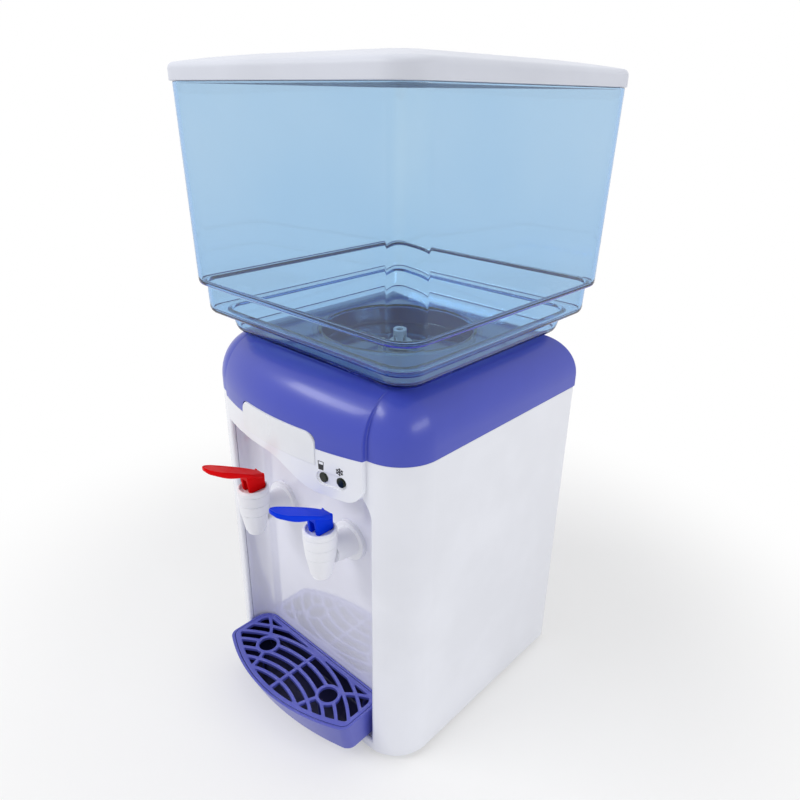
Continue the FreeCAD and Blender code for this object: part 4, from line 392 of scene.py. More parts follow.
def placed(name: str, data: bpy.types.ID) -> Thing:
    """A new object in the scene."""
    item = bpy.data.objects.new(name, data)
    bpy.context.scene.collection.objects.link(item)
    return item


def mesh_object(name: str, points: Iterable[Sequence[float]], faces: Iterable[Sequence[int]]) -> Thing:
    """Makes an object from points in millimetres."""
    mesh = bpy.data.meshes.new(name)
    mesh.from_pydata([Vector(point) * MM for point in points], [], [list(face) for face in faces])
    return placed(name, mesh)


def sharp(item: Thing, angle: float) -> Thing:
    """Keeps the edges sharper than an angle in degrees and smooths the rest."""
    item.data.shade_smooth()
    item.data.set_sharp_from_angle(angle=radians(angle))
    return item


def tidy(item: Thing, angle: float = 35) -> Thing:
    """Merges doubles, turns faces outwards and smooths between sharp edges."""
    with edited(item.data) as work:
        bmesh.ops.remove_doubles(work, verts=work.verts, dist=WELD * MM)
        bmesh.ops.dissolve_degenerate(work, edges=work.edges, dist=WELD * MM)
        bmesh.ops.recalc_face_normals(work, faces=work.faces)
    return sharp(item, angle)


def unit(value: float) -> float:
    """A value held between 0 and 1."""
    return min(1.0, max(0.0, value))


def quarter(steps: int) -> list[float]:
    """Angles from 0 to a right angle."""
    return [pi / 2 * step / steps for step in range(steps + 1)]


def fillet(radius: float, steps: int) -> list[Pair]:
    """How far a rounded corner's points lie inside its first flank and short of its end."""
    return [(radius * (1 - cos(angle)), radius * (1 - sin(angle))) for angle in quarter(steps)]


def loft(name: str, rings: Sequence[Ring], looped: bool = False, angle: float = 35) -> Thing:
    """Skins closed rings of equal length; looped rings close on themselves, others get two caps."""
    count = len(rings[0])
    faces = []
    for row in range(len(rings) if looped else len(rings) - 1):
        low, high = row * count, (row + 1) % len(rings) * count
        faces += [(low + index, low + after, high + after, high + index)
                  for index, after in zip(range(count), [*range(1, count), 0])]
    if not looped:
        faces += [range(count), range((len(rings) - 1) * count, len(rings) * count)]
    return tidy(mesh_object(name, [point for ring in rings for point in ring], faces), angle)


def soften(stations: Sequence[Station], radii: Sequence[float], steps: int = 5) -> list[Station]:
    """Rounds an open path's corners, each cut by its radius before and after the station; 0 stays sharp."""
    path: list[Station] = []
    for index, (here, radius) in enumerate(zip(stations, radii)):
        if radius == 0 or index in (0, len(stations) - 1):
            path.append(tuple(here))
            continue
        spot = Vector(here)
        ends = []
        for other in (stations[index - 1], stations[index + 1]):
            away = Vector(other) - spot
            ends.append(spot + away * min(0.45, radius / max(away.length, 1e-6)))
        for step in range(steps + 1):
            share = step / steps
            bend = ends[0] * (1 - share) ** 2 + spot * (2 * share * (1 - share)) + ends[1] * share ** 2
            path.append(tuple(bend))
    return path


def box_ring(half_x: float, half_y: float, radius: float, z: float, centre: Pair = (0, 0),
             steps: int = 14) -> Ring:
    """A rounded rectangle, or a circle where both halves equal the radius."""
    ring = []
    for corner, (sign_x, sign_y) in enumerate(((1, 1), (-1, 1), (-1, -1), (1, -1))):
        for step in range(steps + 1):
            angle = radians(90 * (corner + step / steps))
            ring.append(Vector((centre[0] + sign_x * (half_x - radius) + radius * cos(angle),
                                centre[1] + sign_y * (half_y - radius) + radius * sin(angle), z)))
    return ring


def lathe(name: str, profile: Sequence[Pair], centre: Sequence[float] = (0, 0, 0),
          steps: int = 72, looped: bool = True) -> Thing:
    """Turns a profile of (radius, height) about the Z axis through the centre."""
    turns = [2 * pi * step / steps for step in range(steps)]
    return loft(name, [[Vector((radius * cos(turn), radius * sin(turn), height)) + Vector(centre)
                        for turn in turns] for radius, height in profile], looped)


def prism(name: str, outline: Sequence[Pair], low: float, high: float) -> Thing:
    """A closed outline of (Y, Z) drawn out along X between two levels."""
    return loft(name, [[Vector((level, *pair)) for pair in outline] for level in (low, high)])


def joined(name: str, items: Sequence[Thing]) -> Thing:
    """Joins several objects' meshes into one new object."""
    work = bmesh.new()
    for item in items:
        work.from_mesh(item.data)
        bpy.data.objects.remove(item)
    mesh = bpy.data.meshes.new(name)
    work.to_mesh(mesh)
    work.free()
    return placed(name, mesh)


def baked(item: Thing) -> Thing:
    """Replaces an object's mesh by the result of its modifiers."""
    bpy.context.view_layer.update()
    result = bpy.data.meshes.new_from_object(item.evaluated_get(bpy.context.evaluated_depsgraph_get()))
    item.modifiers.clear()
    item.data = result
    return item


def modified(item: Thing, kind: str, **settings) -> Thing:
    """Applies one modifier with its settings."""
    modifier = item.modifiers.new(kind.title(), kind)
    for name, value in settings.items():
        setattr(modifier, name, value)
    return baked(item)


def carved(item: Thing, cutter: Thing, solver: str = "EXACT") -> Thing:
    """Cuts one shape out of another and removes the cutter."""
    modified(item, "BOOLEAN", operation="DIFFERENCE", object=cutter, solver=solver)
    bpy.data.objects.remove(cutter)
    return item


def melted(item: Thing, voxel: float, smooth: int) -> Thing:
    """Merges overlapping shells into one skin with small fillets where they meet."""
    modified(item, "REMESH", mode="VOXEL", voxel_size=voxel * MM, use_smooth_shade=True)
    modified(item, "SMOOTH", factor=0.5, iterations=smooth)
    item.data.shade_smooth()
    return item


def copied(node: str) -> Thing:
    """A welded copy of a CAD node without its finish."""
    item = placed(node + "_shape", frame["nodes"][node].data.copy())
    with edited(item.data) as work:
        bmesh.ops.remove_doubles(work, verts=work.verts, dist=CAD_WELD * MM)
    item.data.materials.clear()
    if "custom_normal" in item.data.attributes:
        item.data.attributes.remove(item.data.attributes["custom_normal"])
    item.data.shade_smooth()
    return item


def refined(node: str, bevel: float) -> Thing:
    """A copy of a CAD node with clean faces and edges rounded to a width in millimetres."""
    item = copied(node)
    with edited(item.data) as work:
        bmesh.ops.dissolve_limit(work, angle_limit=radians(0.6), verts=work.verts, edges=work.edges)
    modified(item, "BEVEL", width=bevel * MM, segments=3, limit_method="ANGLE",
             angle_limit=radians(30), use_clamp_overlap=True, miter_outer="MITER_ARC")
    item.data.set_sharp_from_angle(angle=radians(40))
    return item


def islands(node: str) -> list[tuple[Vector, Vector]]:
    """The lowest and highest corners of each separate solid in a CAD node, in millimetres."""
    work = bmesh.new()
    work.from_mesh(frame["nodes"][node].data)
    bmesh.ops.remove_doubles(work, verts=work.verts, dist=CAD_WELD * MM)
    left = set(work.verts)
    boxes = []
    while left:
        stack = [left.pop()]
        found = list(stack)
        while stack:
            near = {vert for edge in stack.pop().link_edges for vert in edge.verts} & left
            left -= near
            stack += near
            found += near
        spots = [vert.co / MM for vert in found]
        boxes.append(tuple(Vector(pick(spot[axis] for spot in spots) for axis in range(3))
                           for pick in (min, max)))
    work.free()
    return sorted(boxes, key=lambda pair: tuple(round(value, 2) for value in pair[0]))


def slot_of(node: str) -> str:
    """The record's material slot of a CAD node."""
    return next(part["material_slot"] for part in frame["record"]["subparts"] if part["node"] == node)


def settle(item: Thing, finish: Finish, *nodes: str, body: str | None = None, drawn: bool = True) -> Thing:
    """Gives a piece its finish, puts it in place of CAD nodes and lets it ride on the first one's body.

    A piece that replaces no node names its body; drawn pieces still count depths from the middle.
    """
    if drawn:
        item.data.transform(Matrix.Translation(Vector((0, MIDDLE, 0)) * MM))
    modified(item, "WEIGHTED_NORMAL", keep_sharp=True, weight=60)
    item.data.materials.clear()
    item.data.materials.append(finish.material())
    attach(item, body or frame["nodes"][nodes[0]]["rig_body"])
    if nodes:
        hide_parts(*nodes)
        slot_of(nodes[0])
    log.info("%s: %d faces, %s", item.name, len(item.data.polygons), finish.name)
    return item


def dress(finish: Finish, *nodes: str) -> None:
    """Keeps CAD nodes as they are and gives them a finish."""
    for node in nodes:
        item = frame["nodes"][node]
        item.data.materials.clear()
        item.data.materials.append(finish.material())
        log.info("%s: CAD shape, %s", node, finish.name)


def smooth(finish: Finish, *nodes: str) -> None:
    """Replaces CAD nodes by welded copies, smooth between edges sharper than 30 degrees."""
    for node in nodes:
        settle(sharp(copied(node), 30), finish, node, drawn=False)


def refine(finish: Finish, bevel: float, *nodes: str) -> None:
    """Replaces CAD nodes by copies with rounded edges."""
    for node in nodes:
        settle(refined(node, bevel), finish, node, drawn=False)


# Geometry Nodes
class Garden(Tree):
    """A Geometry Nodes tree that ends in Realize Instances and Set Material."""

    def __init__(self, name: str, inputs: dict[str, str]) -> None:
        """Starts a tree with named inputs after its geometry."""
        super().__init__(bpy.data.node_groups.new(name, "GeometryNodeTree"))
        face = self.tree.interface
        face.new_socket("Geometry", in_out="INPUT", socket_type="NodeSocketGeometry")
        self.sockets = {label: face.new_socket(label, in_out="INPUT", socket_type=kind)
                        for label, kind in {**inputs, "Finish": "NodeSocketMaterial"}.items()}
        face.new_socket("Geometry", in_out="OUTPUT", socket_type="NodeSocketGeometry")

    def given(self, label: str) -> Field:
        """One of the tree's inputs."""
        return self.add("NodeGroupInput", output=label)

    def end(self, **sockets: Field) -> "Garden":
        """Puts instances on points, realizes them, sets the finish and closes the tree."""
        copies = self.add("GeometryNodeInstanceOnPoints", sockets)
        real = self.add("GeometryNodeRealizeInstances", {"Geometry": copies})
        done = self.add("GeometryNodeSetMaterial", {"Geometry": real, "Material": self.given("Finish")})
        self.add("NodeGroupOutput", {0: done})
        return self

    def grow(self, item: Thing, **values) -> Thing:
        """Runs the tree on an object and keeps the result as a plain mesh."""
        modifier = item.modifiers.new(self.tree.name, "NODES")
        modifier.node_group = self.tree
        for label, value in values.items():
            modifier[self.sockets[label].identifier] = value
        return sharp(baked(item), 35)


def around_tree() -> Garden:
    """Copies of a shape turned about the Z axis."""
    garden = Garden("around_axis", {"Count": "NodeSocketInt"})
    count = garden.given("Count")
    dots = garden.add("GeometryNodeMeshLine", {"Count": count, "Offset": (0, 0, 0)})
    turn = garden.add("GeometryNodeInputIndex") / count * (2 * pi)
    return garden.end(Points=dots, Instance=garden.given("Geometry"),
                      Rotation=garden.add("ShaderNodeCombineXYZ", {"Z": turn}))


def spots_tree() -> Garden:
    """Copies of a template object at the points of a mesh, all turned the same way."""
    garden = Garden("at_spots", {"Template": "NodeSocketObject", "Turn": "NodeSocketVector"})
    template = garden.add("GeometryNodeObjectInfo", {"Object": garden.given("Template")}, "Geometry")
    return garden.end(Points=garden.given("Geometry"), Instance=template, Rotation=garden.given("Turn"))


@dataclass
class Fasteners:
    """Pan-head screws with a cross recess and a ridged thread, at the places of a CAD node."""

    head_radius: float = 3.2
    head_height: float = 1.92
    thread_radius: float = 1.6
    pitch: float = 0.8
    garden: Garden = field(default_factory=spots_tree)

    def template(self, length: float) -> Thing:
        """One screw along Z: head above 0, thread below."""
        top, wide = self.head_height, self.head_radius
        dome = [(0, top), (wide * 0.45, top), (wide * 0.8, top * 0.82), (wide, top * 0.42), (wide, 0.0)]
        thread = [pair for level in (-turn * self.pitch for turn in range(int(length / self.pitch)))
                  for pair in ((self.thread_radius * 0.8, level - 0.1),
                               (self.thread_radius, level - self.pitch / 2))]
        point = [(self.thread_radius * 0.5, -length), (0, -length)]
        screw = lathe("screw_template", dome + thread + point, steps=24, looped=False)
        for across in ((0.42, 2.9), (2.9, 0.42)):
            carved(screw, loft("recess", [[Vector((x * across[0] / 2, y * across[1] / 2, z))
                                           for x, y in ((-1, -1), (1, -1), (1, 1), (-1, 1))]
                                          for z in (top * 0.4, top + 1)]))
        return tidy(screw)

    def place(self, node: str, axis: str) -> None:
        """Puts a screw at each solid of a node, along Y with its head behind or along Z with it below."""
        number = "XYZ".index(axis)
        out, turn = {"Y": (1, -pi / 2), "Z": (-1, pi)}[axis]
        boxes = islands(node)
        template = self.template(boxes[0][1][number] - boxes[0][0][number] - self.head_height)
        spots = []
        for low, high in boxes:
            spot = (low + high) / 2
            spot[number] = (high if out > 0 else low)[number] - out * self.head_height
            spots.append(spot)
        dots = mesh_object(node + "_shape", spots, [])
        self.garden.grow(dots, Template=template, Turn=(turn, 0, 0), Finish=Finish.STEEL.material())
        bpy.data.objects.remove(template)
        settle(tidy(dots), Finish.STEEL, node, drawn=False)


# Front marks and cover
def bow(x: float, inset: float = 0) -> float:
    """Depth at a width of the bowed front that the fascia and the cover share, drawn in by an inset."""
    return BOW_CENTRE - sqrt((BOW_RADIUS - inset) ** 2 - x * x)


def bar(start: complex, end: complex, width: float) -> Stroke:
    """A straight stroke between two points."""
    along = (end - start) / abs(end - start) * width / 2
    first, last, side = start - along * 0.3, end + along * 0.3, along * 1j
    return [first + side, first - side, last - side, last + side]


def glass() -> list[Stroke]:
    """A tumbler, filled in its lower two thirds."""
    left, right, low_left, low_right = -0.31 + 0.44j, 0.31 + 0.44j, -0.26 - 0.44j, 0.26 - 0.44j
    return [bar(left, low_left, 0.08), bar(right, low_right, 0.08), bar(low_left, low_right, 0.08),
            bar(left, right, 0.07), [-0.26 + 0.12j, -0.23 - 0.41j, 0.23 - 0.41j, 0.26 + 0.12j]]


def snow() -> list[Stroke]:
    """A six-armed snow crystal."""
    strokes = []
    for turn in (radians(60 * arm + 30) for arm in range(6)):
        way = rect(1, turn)
        strokes.append(bar(0j, way * 0.5, 0.12))
        strokes += [bar(way * 0.24, way * 0.24 + rect(0.2, turn + side * 0.8), 0.1) for side in (-1, 1)]
    return strokes


@dataclass
class Pictogram:
    """Ink films on the bowed fascia, drawn as outlines in a unit square about a middle at x and z."""

    name: str
    strokes: list[Stroke]
    middle: complex
    size: float

    def film(self, stroke: Stroke) -> Thing:
        """One outline as a thin film that follows the bow."""
        spots = [self.middle + spot * self.size for spot in stroke]
        return loft("film", [[Vector((spot.real, bow(spot.real) + lift, spot.imag)) for spot in spots]
                             for lift in (0.05, -0.06)])

    def build(self) -> None:
        """Makes the pictogram."""
        mark = joined(self.name, [self.film(stroke) for stroke in self.strokes])
        mark = settle(mark, Finish.INK, body="housing")
        slot_of("fascia_panel")


@dataclass
class Cover:
    """Violet cover: a rounded pillow with the bow carried into it and a round well in its top."""

    half: float = 110
    front: float = -105
    corner: float = 33
    seam: float = 270.6
    top: float = 317.6
    round: float = 33
    bow_round: float = 34.85
    crown: float = 38
    wall: float = 3
    lip: float = 2.2
    skin: float = 2.5
    well: float = 66
    floor: float = 289.6
    drain: float = 6.05
    tab: Station = (41.15, 282.35, 9.15)

    def plan(self, inset: float, bow_inset: float, z: float) -> Ring:
        """One ring round the pillow and the bow at a level, each drawn in by its own inset."""
        side, front, back_y = self.half - inset, self.front + inset, REAR - inset
        edge = BOW_HALF - max(0.0, inset - 31)
        arc = [(edge * sin(pi / 2 * step / 36),) for step in range(-36, 37)]
        nose = [(x, min(bow(x, bow_inset), front)) for (x,) in arc]
        valley = soften([(edge - 2, bow(edge - 2, bow_inset)), (edge, nose[-1][1]),
                         (edge + 0.3, front), (edge + 1.8, front)], (0, 1.0, 1.2, 0), 6)[1:]
        valley = [(x, min(y, front)) for x, y in valley]
        radius = max(0.6, self.corner - inset)
        centre = (side - radius, front + radius)
        turn = [(centre[0] + radius * sin(angle), centre[1] - radius * cos(angle))
                for angle in (radians(4 + 86 * step / 18) for step in range(19))]
        flank = [(side, -60 + (back_y + 60 - 8) * step / 12) for step in range(12)]
        back = soften([(side, back_y - 5), (side, back_y), (side - 5, back_y)], (0, 1, 0), 3)
        right = valley + turn + flank + back
        rear = [(side - 8 - (side - 8) * step / 10, back_y) for step in range(11)]
        whole = nose[1:-1] + right + rear
        left = [(-x, y) for x, y in reversed(right + rear[:-1])]
        return [Vector((x, y, z)) for x, y in whole + left]

    def shell(self, inset: float) -> list[Ring]:
        """Rings of the outer or inner surface from the seam up to its flat top."""
        rings = []
        height = self.crown - inset
        start = self.top - self.crown
        levels = [self.seam, self.seam + 0.5, self.seam + 4.5]
        levels += [start + height * sin(angle) for angle in quarter(30)]
        for index, z in enumerate(levels):
            share = unit((z - start) / height)
            drawn = 1 - sqrt(1 - share ** 2)
            edge = 0.35 if index == 0 and inset == 0 else 0
            rings.append(self.plan(inset + (self.round - inset) * drawn + edge,
                                   inset + (self.bow_round - inset) * drawn + edge, z))
        return rings

    def round_ring(self, like: Ring, radius: float, z: float) -> Ring:
        """A circle about the well whose points face those of another ring."""
        ring = []
        for point in like:
            way = Vector((point.x, point.y - TANK_Y)).normalized() * radius
            ring.append(Vector((way.x, TANK_Y + way.y, z)))
        return ring

    def notch(self) -> Thing:
        """The room that the fascia's tab takes out of the cover's front."""
        half, top, radius = self.tab
        outline = [(-half, self.seam - 2), (-half, top), (half, top), (half, self.seam - 2)]
        path = soften(outline, (0, radius * 1.2, radius * 1.2, 0), 10)
        bottom = [(half * sin(pi / 2 * step / 12), self.seam - 2) for step in range(11, -12, -1)]
        middle = [((half - radius * 1.2) * sin(pi / 2 * step / 10), top) for step in range(-9, 10)]
        split = len(path) // 2
        around = path[:split] + middle + path[split:] + bottom
        back = [Vector((x, bow(x, self.wall - 0.2), z)) for x, z in around]
        return loft("notch", [[Vector((x, -140, z)) for x, z in around], back])

    def build(self) -> None:
        """Makes the cover."""
        outer = self.shell(0)
        inner = self.shell(self.wall)
        ring, under = outer[-1], inner[-1]
        lip = [self.round_ring(ring, self.well + out, self.top - drop) for drop, out in fillet(self.lip, 6)]
        middle = [[a.lerp(b, share) for a, b in zip(ring, lip[0])] for share in (0.3, 0.6, 0.85)]
        low, outside = self.floor - self.skin, self.well + self.skin
        cup = [self.round_ring(ring, radius, z) for radius, z in (
            (self.well, self.floor + 2.5), (self.well - 0.8, self.floor + 0.7),
            (self.well - 2.6, self.floor), (self.drain + 1, self.floor), (self.drain, self.floor - 0.8),
            (self.drain, low), (outside - 0.8, low), (outside, low + 0.8),
            (outside, self.top - self.wall))]
        body = loft("top_cover_shape", outer + middle + lip + cup + [under] + inner[::-1][1:], True, 40)
        settle(sharp(carved(body, self.notch(), "MANIFOLD"), 40), Finish.COVER, "top_cover")


# Tank and lid
@dataclass
class Tank:
    """Removable clear tank in three stages over its round sump."""

    stages: tuple[Station, ...] = (
        (9.05, 9.05, 9.05, 301.9), (62, 62, 62, 301.9), (62, 62, 62, 317.9), (94.8, 95.4, 18, 317.9),
        (97.7, 98.3, 18, 333.2), (108.4, 109.9, 18, 333.2), (109.0, 110.5, 18, 355.2),
        (114.3, 114.1, 18, 355.2), (116.7, 116.5, 18, 495.6), (114.2, 114.0, 15.5, 495.6),
        (111.8, 111.6, 15.5, 357.7), (106.5, 108.0, 15.5, 357.7), (105.9, 107.4, 15.5, 335.7),
        (95.2, 95.8, 15.5, 335.7), (92.3, 92.9, 15.5, 320.4), (59.5, 59.5, 59.5, 320.4),
        (59.5, 59.5, 59.5, 304.4), (9.05, 9.05, 9.05, 304.4))
    rounds: Station = (0, 4, 2, 5, 2.2, 5, 2.2, 4, 1, 0.8, 2.5, 2, 3.5, 1.5, 4, 2, 3, 0)

    def painted_shade_rim(self, normal: Vector, spot: Vector) -> bool:
        """Whether a face lies on the rounded lower edge of a stage, where the clear wall looks darkest and
        dark blue shade is painted on.
        """
        near = any(low - 0.3 < spot.z < low + 1.6 for low in (317.9, 333.2, 355.2))
        return near and -0.97 < normal.z < -0.3

    def build(self) -> None:
        """Makes the tank and paints dark blue shade on the faces where its wall looks darkest."""
        path = soften(self.stages, self.rounds, 6)
        rings = [box_ring(x, y, min(radius, x, y), z, (0, TANK_Y)) for x, y, radius, z in path]
        tank = settle(loft("water_tank_shape", rings, True, 60), Finish.TANK, "water_tank")
        # painted shade: the second material darkens the faces on the stages' rounded lower edges
        tank.data.materials.append(Finish.TANK_EDGE.material())
        for face in tank.data.polygons:
            face.material_index = int(self.painted_shade_rim(face.normal, face.center / MM))


@dataclass
class Lid:
    """Pale lid with a rounded skirt, a low dome and a ring that enters the tank."""

    half: Pair = (117.5, 119.3)
    corner: float = 20
    low: float = 495.9
    skirt: float = 503.1
    round: float = 4.5
    rise: float = 7
    reach: float = 77.5
    inner_corner: float = 15.5

    def ring(self, inset: float, corner: float, z: float) -> Ring:
        """The lid's plan drawn in by an inset."""
        return box_ring(self.half[0] - inset, self.half[1] - inset, corner, z, (0, TANK_Y))

    def dome(self, margin: float, level: float) -> list[Ring]:
        """Rings that shrink as they rise."""
        return [self.ring(margin + self.reach * share, self.inner_corner,
                          level + self.rise * (1 - (1 - share) ** 2)) for share in
                (step / 12 for step in range(13))]

    def build(self) -> None:
        """Makes the lid."""
        rings = self.dome(13.2, self.skirt + self.round - 2.2)[::-1]
        rings += [self.ring(11, 13.4, self.skirt + 1.6), self.ring(11, 13.4, self.low + 0.3)]
        for x, y, corner, z in ((111.4, 111.2, 13.3, self.low), (111.4, 111.2, 13.3, self.low - 0.9),
                                (111.7, 111.5, 13.6, self.low - 1.2), (113.3, 113.1, 15.2, self.low - 1.2),
                                (113.6, 113.4, 15.5, self.low - 0.9), (113.6, 113.4, 15.5, self.low)):
            rings.append(box_ring(x, y, corner, z, (0, TANK_Y)))
        rings += [self.ring(0.7, 19.3, self.low), self.ring(0.2, 19.8, self.low + 0.2),
                  self.ring(0, self.corner, self.low + 0.7)]
        rings += [self.ring(inset, self.corner - inset, self.skirt + self.round - rest)
                  for inset, rest in fillet(self.round, 8)]
        rings += self.dome(self.round, self.skirt + self.round)[1:]
        settle(loft("tank_lid_shape", rings, False, 60), Finish.LID, "tank_lid")


# Taps and levers
@dataclass
class Lever:
    """A forked block with a rising, dished paddle."""

    x: float
    colour: str
    finish: Finish
    rear: float = -107.6
    front: float = -124.4
    tip: float = -156.55
    low: float = 203.3
    rear_z: float = 215.5
    slope: float = 25 / 48.95
    thickness: float = 4.6
    half: float = 9
    block: float = 5.4
    ear: float = 1.3
    pin: Station = (-117.9, -112.8, 208.4, 211.6)

    def width(self, y: float) -> float:
        """Half the paddle's width at a depth."""
        if y > self.front + 1:
            share = unit((self.rear - 1 - y) / (self.rear - self.front - 2))
            return self.block + (self.half - self.block) * sin(pi / 2 * share)
        share = max(0.0, (self.tip + 14 - y) / 14)
        return self.half * sqrt(max(0.0, 1 - share ** 2.6))

    def section(self, y: float) -> Ring:
        """One closed slice of the paddle at a depth."""
        half = max(0.12, self.width(y) - 0.15)
        reach = (self.front - y) / (self.front - self.tip)
        top = self.rear_z + (self.rear - y) * self.slope - 1.2 * max(0.0, reach) ** 3
        belly = 1.9 * sin(pi * unit(reach)) ** 2
        near = min(1.0, (y - self.tip) / 3.2)
        dish = unit((y - self.tip - 1.3) / 1.6) * unit(reach * 3 + 1)
        thick = self.thickness * (0.35 + 0.65 * sqrt(max(0.0, 1 - (1 - near) ** 2)))
        ring = []
        for step in range(56):
            turn = 2 * pi * step / 56
            share = cos(turn)
            crown = (1 - abs(share) ** 7) ** 0.5 * thick / 2
            if sin(turn) >= 0:
                bowl = max(0.0, 1 - (share * half / max(half - 1.1, 0.3)) ** 10)
                z = top - thick / 2 + crown - dish * bowl
            else:
                z = top - thick / 2 - crown - belly
            ring.append(Vector((self.x + share * half, y, z)))
        return ring

    def cheeks(self) -> Thing:
        """The block below the paddle."""
        high = self.rear_z + (self.rear - self.front) * self.slope
        side = [(self.rear - 3, self.low), (self.rear, self.low), (self.rear - 0.2, self.rear_z - 0.4),
                (self.front, high - 2.2), (self.front + 2.4, self.low), (self.front + 6, self.low)]
        path = soften(side, (0, 0.7, 0.5, 0.5, 0.9, 0), 4)
        return prism("cheeks", path, self.x - self.block + 0.15, self.x + self.block - 0.15)

    def build(self) -> None:
        """Makes the lever."""
        stops = [self.rear + (self.tip - self.rear) * sin(angle) for angle in quarter(60)]
        paddle = loft("paddle", [self.section(y) for y in stops])
        ear = soften([(self.rear - 1.8, self.rear_z - 1), (self.rear - 1.6, self.rear_z + 1.5),
                      (self.rear - 0.3, self.rear_z + 0.8), (self.rear - 0.2, self.rear_z - 1)],
                     (0, 0.5, 0.5, 0), 3)
        ears = [prism("ear", ear, self.x + low, self.x + low + self.ear)
                for low in (-self.block, self.block - self.ear)]
        item = melted(joined(f"lever_{self.colour}_shape", [paddle, self.cheeks(), *ears]), 0.28, 2)
        fork = [(self.front - 4, self.low - 2), (self.front - 4, self.rear_z - 1),
                (self.rear - 2.4, self.rear_z - 1), (self.rear - 4.6, self.low - 2)]
        front, rear, low, high = self.pin
        slot = soften([(front, low), (front, high), (rear, high), (rear, low)], (0, 1.4, 1.4, 0), 4)
        for outline, half in ((fork, 2.7), (slot, 5)):
            carved(item, prism("cutter", outline, self.x - half, self.x + half))
        settle(sharp(item, 50), self.finish, f"lever_{self.colour}")


@dataclass
class Tap:
    """One tap's grooved barrel and its lever."""

    x: float
    colour: str
    lever: Finish
    y: float = -116
    grooves: tuple[Pair, ...] = ((11.4, 183.5), (12.25, 192.5), (12.6, 201.2), (7.2, 166.6))

    def build(self) -> None:
        """Makes the tap and its lever."""
        colour = self.colour
        body = refined(f"tap_body_{colour}", 0.5)
        for radius, z in self.grooves:
            profile = [(radius - 0.45, z - 0.1), (radius + 2, z - 0.5), (radius + 2, z + 0.5),
                       (radius - 0.45, z + 0.1)]
            carved(body, lathe("groove", profile, (self.x, self.y + MIDDLE, 0), 64))
        settle(sharp(body, 40), Finish.TAP, f"tap_body_{colour}", drawn=False)
        Lever(self.x, colour, self.lever).build()


# Drip tray and grille
@dataclass
class DripTray:
    """Violet tray with a bowed, leaning front, and the grille that lies in it."""

    half: float = 76
    back: float = -86
    side: float = -129
    rest: float = -121
    middle: float = -148.5
    rear: float = 14
    corner: float = 9
    low: float = 13.3
    top: float = 42
    lean: float = 12.5
    wall: float = 2.2
    foot_round: float = 4
    edge_round: float = 0.7
    floor_round: float = 2

    def plan(self, z: float, inset: float) -> Ring:
        """The tray's outline at a level, drawn in by an inset."""
        lean = self.lean * (self.top - z) / (self.top - self.low)
        half, back = self.half - inset, self.back - inset
        side, middle = self.side + inset + lean * 0.4, self.middle + inset + lean
        rear, corner = self.rear - inset, max(0.5, self.corner - inset)
        rise = side - middle
        bend = (half * half + rise * rise) / (2 * rise)
        centre = middle + bend
        pivot = (half - corner, centre - sqrt((bend - corner) ** 2 - (half - corner) ** 2))
        reach = atan2(pivot[0], centre - pivot[1])
        front = [(bend * sin(reach * step / 24), centre - bend * cos(reach * step / 24))
                 for step in range(25)]
        turn = [(pivot[0] + corner * sin(angle), pivot[1] - corner * cos(angle)) for angle in
                (reach + (pi / 2 - reach) * step / 12 for step in range(1, 13))]
        hind = [(half - rear + rear * cos(angle), back - rear + rear * sin(angle))
                for angle in quarter(10)]
        right = front + turn + hind
        left = [(-x, y) for x, y in reversed(right[1:])]
        return [Vector((x, y, z)) for x, y in right + left]

    def build(self) -> None:
        """Makes the tray and the grille."""
        foot = [self.plan(self.low + rise, inset) for rise, inset in fillet(self.foot_round, 8)]
        lip = [self.plan(self.top - drop, inset) for inset, drop in fillet(self.edge_round, 5)]
        inside = [self.plan(self.top - drop, self.wall - inset) for drop, inset in fillet(0.5, 4)]
        floor = self.low + self.wall
        basin = [self.plan(floor + rise, self.wall + inset) for inset, rise in fillet(self.floor_round, 5)]
        parts = [loft("basin", foot + lip + inside + basin, False, 50)]
        parts += [loft("tongue", [box_ring(8, 2, 0.8, z, (x, -84.1), 3) for z in (18.2, 22.2)])
                  for x in (-TAP_X, TAP_X)]
        post = [(0, floor - 1), (2.2, floor - 1), (2.2, 38.0), (1.7, 38.5), (0, 38.5)]
        parts += [lathe("rest", post, (x, y, 0), 20, False) for x, y in (
            (-62, self.back - 8.4), (62, self.back - 8.4), (-38, self.rest), (38, self.rest))]
        self.paint_basin_shade(settle(joined("drip_tray_shape", parts), Finish.TRAY, "drip_tray"))
        settle(melted(copied("drip_grille"), 0.45, 2), Finish.TRAY, "drip_grille", drawn=False)

    def paint_basin_shade(self, item: Thing) -> None:
        """Paints shade on the basin's inside: a darker copy of the tray plastic on the faces that look in or
        up.
        """
        item.data.materials.append(Finish.BASIN.material())
        middle = Vector((0, (self.back + self.rest) / 2 + MIDDLE, 0)) * MM
        for face in item.data.polygons:
            level = face.center.z / MM
            inward = face.normal.dot(middle - face.center) > 0 or face.normal.z > 0.5
            # painted shade on the basin's inside faces between its floor and its lip
            face.material_index = int(inward and self.low + 1 < level < self.top - 2)


